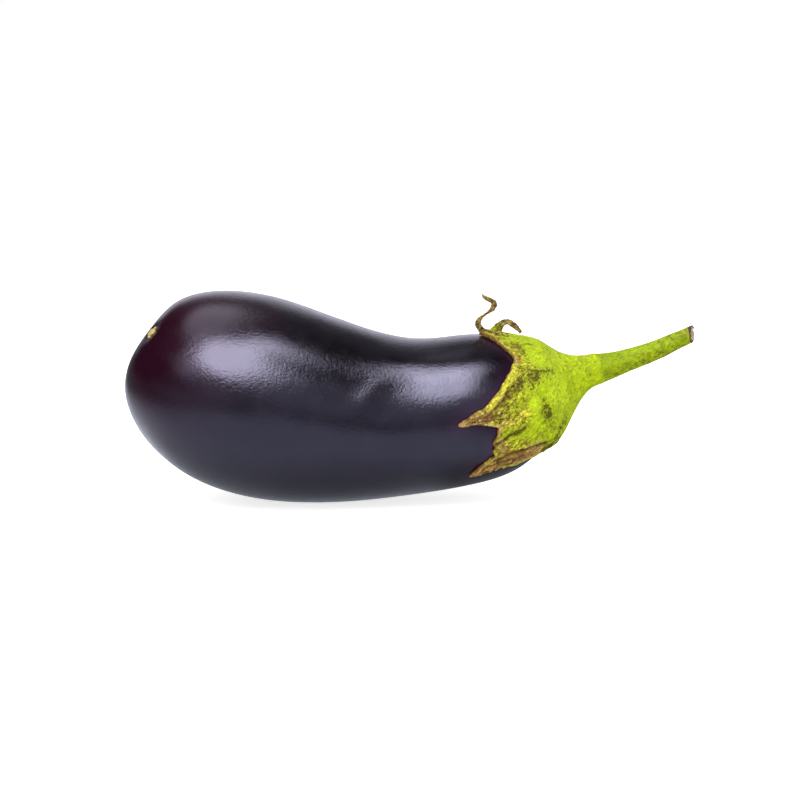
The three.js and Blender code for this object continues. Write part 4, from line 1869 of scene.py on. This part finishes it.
@dataclass
class CutEnd:
    """The stem's cut end: a dark, torn collar of bark round a slightly hollow face.

    Each ring has its shares of the stem's length and radius, how torn it is, and its shares of
    bark, pith and green. It tilts from tilt_from on, at a rate of tilt_rate.
    """

    PAINTED = ("bark", "pith", "green")

    stem: Stem
    columns: int = 96
    seed: int = 5
    rags: tuple[Place, ...] = ((0.9, 1.0, 0.0), (0.4, 0.6, 9.0))
    rag_walk: float = 3.0
    ragged_radius: float = 0.035
    ragged_height: float = 0.32
    tilt: Spot = (0.42, 0.28)
    tilt_from: float = 0.96
    tilt_rate: float = 60.0
    bent_until: float = 0.99
    facing_at: float = 0.98
    pole: float = 0.984
    rings: tuple[tuple[float, ...], ...] = (
        (0.935, 0.96, 0.0, 0.0, 0.0, 1.0), (0.95, 1.015, 0.0, 0.1, 0.0, 1.0),
        (0.96, 1.03, 0.1, 0.5, 0.0, 0.7), (0.972, 1.03, 0.3, 0.9, 0.0, 0.3),
        (0.982, 1.05, 0.6, 1.0, 0.0, 0.0), (0.99, 1.04, 1.0, 1.0, 0.0, 0.0),
        (0.996, 1.0, 1.0, 1.0, 0.0, 0.0), (0.999, 0.95, 1.0, 0.9, 0.0, 0.0),
        (0.998, 0.89, 0.7, 0.8, 0.0, 0.0), (0.993, 0.83, 0.4, 0.4, 0.0, 0.0),
        (0.991, 0.75, 0.3, 0.0, 0.0, 0.0), (0.992, 0.62, 0.2, 0.0, 0.0, 0.0),
        (0.993, 0.48, 0.2, 0.0, 0.2, 0.0), (0.991, 0.34, 0.2, 0.0, 0.9, 0.0),
        (0.986, 0.22, 0.1, 0.0, 1.0, 0.0), (0.984, 0.1, 0.0, 0.0, 1.0, 0.0),
    )

    def build(self) -> Piece:
        """Makes the cut end.

        Returns:
            The dressed piece.
        """
        round_it = circle(self.columns)
        cos, sin = round_it[:, :1], round_it[:, 1:]
        rag = Grain(self.seed).ripples(round_it * self.rag_walk, self.rags)[:, None]
        facing = self.stem.direction(self.facing_at)
        rows = []
        for along, size, torn, *_ in self.rings:
            side, top = axes_along(self.stem.direction(min(along, self.bent_until)))
            tear = torn * rag
            radius = self.stem.radius(along) * size * (1 + self.ragged_radius * tear)
            tilting = min(1.0, max(0.0, (along - self.tilt_from) * self.tilt_rate))
            tilt = (self.tilt[0] * sin - self.tilt[1] * cos) * radius * tilting
            flat = self.stem.place(along) + radius * (cos * top + sin * side)
            rows.append(flat + (self.ragged_height * tear - tilt) * facing)
        painted = np.repeat(np.array(self.rings)[:, None, -3:], self.columns, axis=1)
        masks = dict(zip(self.PAINTED, painted.transpose(2, 0, 1)))
        poles = (self.stem.place(self.rings[0][0]), self.stem.place(self.pole))
        piece = closed_mesh("stem_cut_end", np.array(rows), poles, masks, CutFinish().make())
        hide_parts("stem")
        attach(piece, BODY)
        return piece


RIBBON = Section(thickness=0.55, ribs=3, rib_height=0.05, fold=0.35, crumple=0.8 * MM,
                 crumple_size=1.5 * MM, sides=26)


@dataclass
class DriedTip:
    """A sepal's dried tip: a narrow ribbon that twists as it goes.

    It turns from green to straw by the share green_until of its length, and its brown rises from
    the first to the second share along it, with blotches.
    """

    name: str
    path: tuple[Place, ...]
    widths: tuple[float, ...]
    twists: tuple[float, ...]
    section: Section = RIBBON
    stations: int = 110
    per_span: int = 24
    brown: Spot = (0.2, 0.6)
    green_until: float = 0.12
    blotch_size: float = 2.0
    blotches: float = 0.6
    straw_from: float = 0.3
    brown_from: Spot = (0.2, 1.2)
    creases: Spot = (0.1, 1.1)
    crease_size: float = 1.1
    crease_shift: float = 20.0
    deepest_crease: float = 0.9
    seed: int = 3

    def build(self, tree: SweepTree, finish: Material) -> Piece:
        """Makes the ribbon.

        Args:
            tree: the tree that sweeps it.
            finish: its material.

        Returns:
            The dressed piece.
        """
        shares = np.linspace(0, 1, self.stations)
        path = Rail(Spline(np.array(self.path)).sample(self.per_span)).at(shares)
        side, top = axes_along(unit(np.gradient(path, axis=0)))
        widths, twists = (
            np.interp(shares, np.linspace(0, 1, len(knots)), knots)
            for knots in (self.widths, self.twists))
        turn = np.radians(twists)[:, None]
        across = side * np.cos(turn) + top * np.sin(turn)
        piece = tree.sweep(self.name, path, across, widths / 2, self.section, finish)
        self.paint(piece.data, path)
        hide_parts("calyx")
        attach(piece, BODY)
        return piece

    def paint(self, mesh: Mesh, path: Array) -> None:
        """Paints the ribbon from leaf green at its foot to straw and brown, with painted shade in its
        creases.

        Args:
            mesh: the ribbon's mesh.
            path: points of its middle line.
        """
        places = mesh_places(mesh) / MM
        share = nearest(places, path)[0] / len(path)
        grain = Grain(self.seed)
        blotches = self.blotches * grain.at(places, self.blotch_size)
        masks = {name: np.zeros(len(places)) for name in LEAF_MASKS}
        masks["straw"] = smoothstep(share, self.straw_from * self.green_until, self.green_until)
        low, high = self.brown
        masks["brown"] = np.clip(low + (high - low) * share + blotches, 0, 1)
        first, last = self.brown_from
        masks["brown"] *= smoothstep(share, first * self.green_until, last * self.green_until)
        # painted shade in random creases, through the fold value
        creases = grain.at(places + self.crease_shift, self.crease_size)
        masks["fold"] = np.clip(grow(self.creases, creases), 0, self.deepest_crease)
        masks["crumpled"] = np.ones(len(places))
        paint_mesh(mesh, masks)


FRONT_TIP = DriedTip(
    name="dried_tip_front",
    path=((40.5, -1.0, 69.2), (38, -0.9, 70.1), (34.9, -0.9, 70.8), (32.1, -0.9, 71.3),
          (29.8, -1.2, 72.6), (28.4, -1.5, 74.4), (28.4, -1.5, 76.4), (30.1, -1.5, 78.3),
          (32.1, -1.5, 79.8), (34.2, -1.5, 81.6), (34.8, -1.5, 83.6), (33.1, -1.5, 85.1),
          (30.8, -1.5, 86.1), (29.6, -1.5, 87.6)),
    widths=(3.4, 3.0, 2.4, 2.3, 2.6, 2.7, 2.5, 1.9, 1.5, 2.1, 2.5, 2.1, 1.9, 0.3),
    twists=(60, 70, 80, 95, 110, 120, 90, 50, 20, 60, 95, 110, 100, 90),
)
BACK_TIP = DriedTip(
    name="dried_tip_back",
    path=((35.4, 12, 66.5), (36.0, 11.6, 69.2), (37.2, 11.2, 71.6), (39.2, 10.6, 73.6),
          (41.4, 10, 74.0), (43.4, 9.5, 72.9), (45.2, 9, 71.2), (46.6, 8.6, 69.7)),
    widths=(6.5, 6.2, 4.4, 3.0, 2.3, 2.6, 2.2, 1.2),
    twists=(90, 90, 90, 95, 100, 80, 110, 90),
    brown=(0.1, 0.6),
    green_until=0.55,
)
SKIN_SLIVER = DriedTip(
    name="dried_sliver",
    path=((37.5, -3.4, 70.3), (34, -1.8, 70.9), (30.6, 0.2, 71.2), (27.4, 1.6, 71.2)),
    widths=(1.6, 1.4, 1.0, 0.3),
    twists=(30, 40, 50, 40),
    section=replace(RIBBON, sides=14),
    stations=40,
    brown=(1.0, 1.0),
)


@dataclass
class BlossomScar:
    """The corky scar where the flower was: a rough, star-cracked button in a dimple.

    Ripples and roughness are the size, the height and the shift of each random layer, on the
    button's outline and on its face.
    """

    radius: float = 2.9
    height: float = 1.1
    sunk: float = 0.7
    arms: int = 5
    crack_depth: float = 0.35
    crack_turn: float = 0.6
    crack_sharpness: float = 6.0
    crack_start: float = 0.4
    crack_shade: float = 2.0
    dome_power: float = 3.0
    rim_rate: float = 5.0
    pit_depth: float = 0.3
    pit_radius: float = 0.7
    ripple_walk: float = 3.0
    ripples: tuple[Place, ...] = ((1.0, 0.12, 0.0), (0.4, 0.07, 8.0))
    roughness: tuple[Place, ...] = ((0.8, 0.28, 0.0), (0.35, 0.16, 5.0))
    base_depth: float = 0.5
    base_scale: float = 0.97
    columns: int = 120
    rows: int = 34
    seed: int = 21

    def build(self, fruit: FruitBody) -> Piece:
        """Makes the scar.

        Args:
            fruit: the fruit that it sits on.

        Returns:
            The dressed piece.
        """
        centre, normal = fruit.scar()
        centre = centre - normal * self.sunk
        side = unit(np.cross(normal, UP))
        axes = np.array([side, np.cross(side, normal)])
        round_it = circle(self.columns)
        turn = np.arctan2(round_it[:, 1], round_it[:, 0])
        grain = Grain(self.seed)
        outline = self.radius * (1 + grain.ripples(round_it * self.ripple_walk, self.ripples))
        base = round_it * (outline * self.base_scale)[:, None]
        rows = [centre + base @ axes - self.base_depth * normal]
        rim = []
        for share in np.linspace(0, 1, self.rows)[:-1]:
            radius = outline * (1 - share)
            flat = round_it * radius[:, None]
            dome = self.height * (1 - (1 - share) ** self.dome_power)
            star = np.abs(np.cos(self.arms * turn / 2 + self.crack_turn)) ** self.crack_sharpness
            crack = self.crack_depth * star * (1 - share) ** 0.5
            rough = grain.ripples(flat, self.roughness)
            pit = self.pit_depth * fade(radius, self.pit_radius)
            inward = share * self.rim_rate
            height = dome - crack * share**self.crack_start + rough * min(1.0, inward) - pit
            rows.append(centre + flat @ axes + height[:, None] * normal)
            # painted shade: dark towards the button's edge, where it sinks into the dimple, and in its
            # cracks
            rim.append(np.clip(1 - inward + crack * self.crack_shade, 0, 1))
        poles = (centre - self.base_depth * normal, centre + (self.height - self.pit_depth) * normal)
        masks = {"rim": np.array([rim[0], *rim])}
        piece = closed_mesh("blossom_scar_cork", np.array(rows), poles, masks, CorkFinish().make())
        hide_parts("blossom_scar")
        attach(piece, BODY)
        return piece


# Studio


def direction(arch: float, side: float) -> Vector:
    """Direction from the fruit to a place on the sphere round it.

    Args:
        arch: 0 at the front, 90 overhead and 180 behind.
        side: positive towards the stem.

    Returns:
        The unit direction.
    """
    arch, side = math.radians(arch), math.radians(side)
    level = math.cos(side)
    return Vector((math.sin(side), -level * math.cos(arch), level * math.sin(arch)))


@dataclass(frozen=True)
class Softbox:
    """An area light on a sphere round the fruit, seen in gloss alone or in all but gloss."""

    name: str
    arch: float
    side: float
    width: float
    height: float
    power: float
    glossy: bool
    distance: float = 1.0

    def hang(self, target: Vector) -> None:
        """Puts the light up.

        Args:
            target: the place that it faces.
        """
        light = bpy.data.lights.new(self.name, "AREA")
        light.shape = "ELLIPSE"
        light.size, light.size_y = self.width, self.height
        light.energy = self.power
        lamp = bpy.data.objects.new(self.name, light)
        away = direction(self.arch, self.side)
        lamp.location = target + away * self.distance
        lamp.rotation_euler = away.to_track_quat("Z", "Y").to_euler()
        lamp.visible_glossy = self.glossy
        lamp.visible_diffuse = not self.glossy
        bpy.context.scene.collection.objects.link(lamp)


@dataclass
class Studio:
    """Pale floor, soft light and the camera.

    Glows are soft bright spots of its walls, seen only in gloss: the side and the arch of each,
    the angle within which it is full, the angle at which it ends, and its strength.
    """

    light_target: Place = (0.0, 0.0, 0.045)
    target: Place = (-4.41, 0, 42.4)
    camera_distance: float = 933.3
    camera_elevation: float = 10.0
    lens: float = 100.0
    sensor: float = 36.0
    floor_half: float = 20.0
    ambient: float = 1.0
    dark_reflection: float = 0.012
    glow_tint: Colour = (0.88, 0.87, 1.0)
    glows: tuple[tuple[float, ...], ...] = (
        (5, 175, 12, 36, 1.3),
        (0, 130, 10, 34, 0.2),
        (-4, 6, 20, 46, 0.42),
        (-30, 14, 10, 40, 0.3),
        (26, 28, 8, 34, 0.75),
    )
    softboxes: tuple[Softbox, ...] = (
        Softbox("key_gloss", 51.2, -10.5, 0.86, 0.88, 24, True),
        Softbox("key_upper", 72.5, 7, 0.21, 0.17, 0.82, True, 0.5),
        Softbox("key_left", 42, -38, 0.5, 0.5, 1.0, True),
        Softbox("overhead_gloss", 99.5, -22, 0.46, 0.26, 0.24, True, 0.55),
        Softbox("overhead_halo", 97, -18, 0.66, 0.34, 0.6, True, 0.6),
        Softbox("far_gloss", 118, 62, 0.5, 0.5, 5.0, True),
        Softbox("key_fill", 62, -14, 0.9, 0.9, 6.5, False),
    )

    def build(self) -> None:
        """Sets up floor, world, lights and camera."""
        bpy.context.scene.view_settings.view_transform = "Standard"
        self.floor()
        self.world()
        for softbox in self.softboxes:
            softbox.hang(Vector(self.light_target))
        self.camera()

    def floor(self) -> None:
        """Lays the floor that the fruit lies on."""
        mesh = bpy.data.meshes.new("studio_floor")
        half = self.floor_half
        corners = [(-half, -half, 0), (half, -half, 0), (half, half, 0), (-half, half, 0)]
        mesh.from_pydata(corners, [], [[0, 1, 2, 3]])
        mesh.materials.append(FloorFinish().make())
        made = add_object("studio_floor", mesh)

    def world(self) -> None:
        """Plain pale light, and for gloss a dark studio with a bright wall low behind."""
        world = bpy.data.worlds.new("studio")
        world.use_nodes = True
        bpy.context.scene.world = world
        nodes = Nodes(world.node_tree)
        world.node_tree.nodes.clear()
        ray = nodes.add("ShaderNodeTexCoord").outputs["Generated"]
        level: Value = self.dark_reflection
        for side, arch, full, end, strength in self.glows:
            facing = nodes.vector("DOT_PRODUCT", ray, tuple(direction(arch, side)), "Value")
            low, high = (math.cos(math.radians(angle)) for angle in (end, full))
            level = nodes.math("ADD", level, nodes.spread(facing, low, high, 0.0, strength))
        kind = "ShaderNodeBackground"
        in_gloss = nodes.wire(kind, {"Color": self.glow_tint, "Strength": level})
        plain = nodes.wire(kind, {"Color": (1.0, 1.0, 1.0), "Strength": self.ambient})
        nodes.mix_in_gloss(plain, in_gloss, nodes.add("ShaderNodeOutputWorld"))

    def camera(self) -> None:
        """A long lens, looking slightly down on the front of the fruit."""
        data = bpy.data.cameras.new("camera")
        data.lens, data.sensor_width = self.lens, self.sensor
        made = bpy.data.objects.new("camera", data)
        rise = math.radians(self.camera_elevation)
        back = Vector((0.0, -math.cos(rise), math.sin(rise)))
        made.location = (Vector(self.target) + back * self.camera_distance) * MM
        made.rotation_euler = back.to_track_quat("Z", "Y").to_euler()
        bpy.context.scene.collection.objects.link(made)
        bpy.context.scene.camera = made


def report(piece: Piece) -> None:
    """Logs a finished piece and its number of triangles."""
    piece.data.calc_loop_triangles()
    log.info("%s: %d triangles", piece.name, len(piece.data.loop_triangles))


def main() -> None:
    """Builds the eggplant and its studio."""
    logging.basicConfig(level=logging.INFO, format="%(name)s %(message)s")
    Studio().build()
    surface = FruitSurface()
    fruit = FruitBody(surface)
    calyx = Calyx(surface)
    stem = Stem()
    tree = SweepTree()
    stalk = LeafFinish(name="stem_green", light=(0.345, 0.465, 0.005), deep=(0.25, 0.35, 0.004),
                       stain_and_shade=(0.15, 0.16, 0.006), relief=0.08)
    dried = LeafFinish(name="dried_leaf", straw=(0.5, 0.37, 0.12), brown=(0.2, 0.125, 0.04))
    report(fruit.build(calyx.margin()))
    report(calyx.build(stem))
    report(stem.build(tree, stalk.make()))
    report(CutEnd(stem).build())
    dried_material = dried.make()
    for tip in (FRONT_TIP, BACK_TIP, SKIN_SLIVER):
        report(tip.build(tree, dried_material))
    report(BlossomScar().build(fruit))


if __name__ == "__main__":
    main()
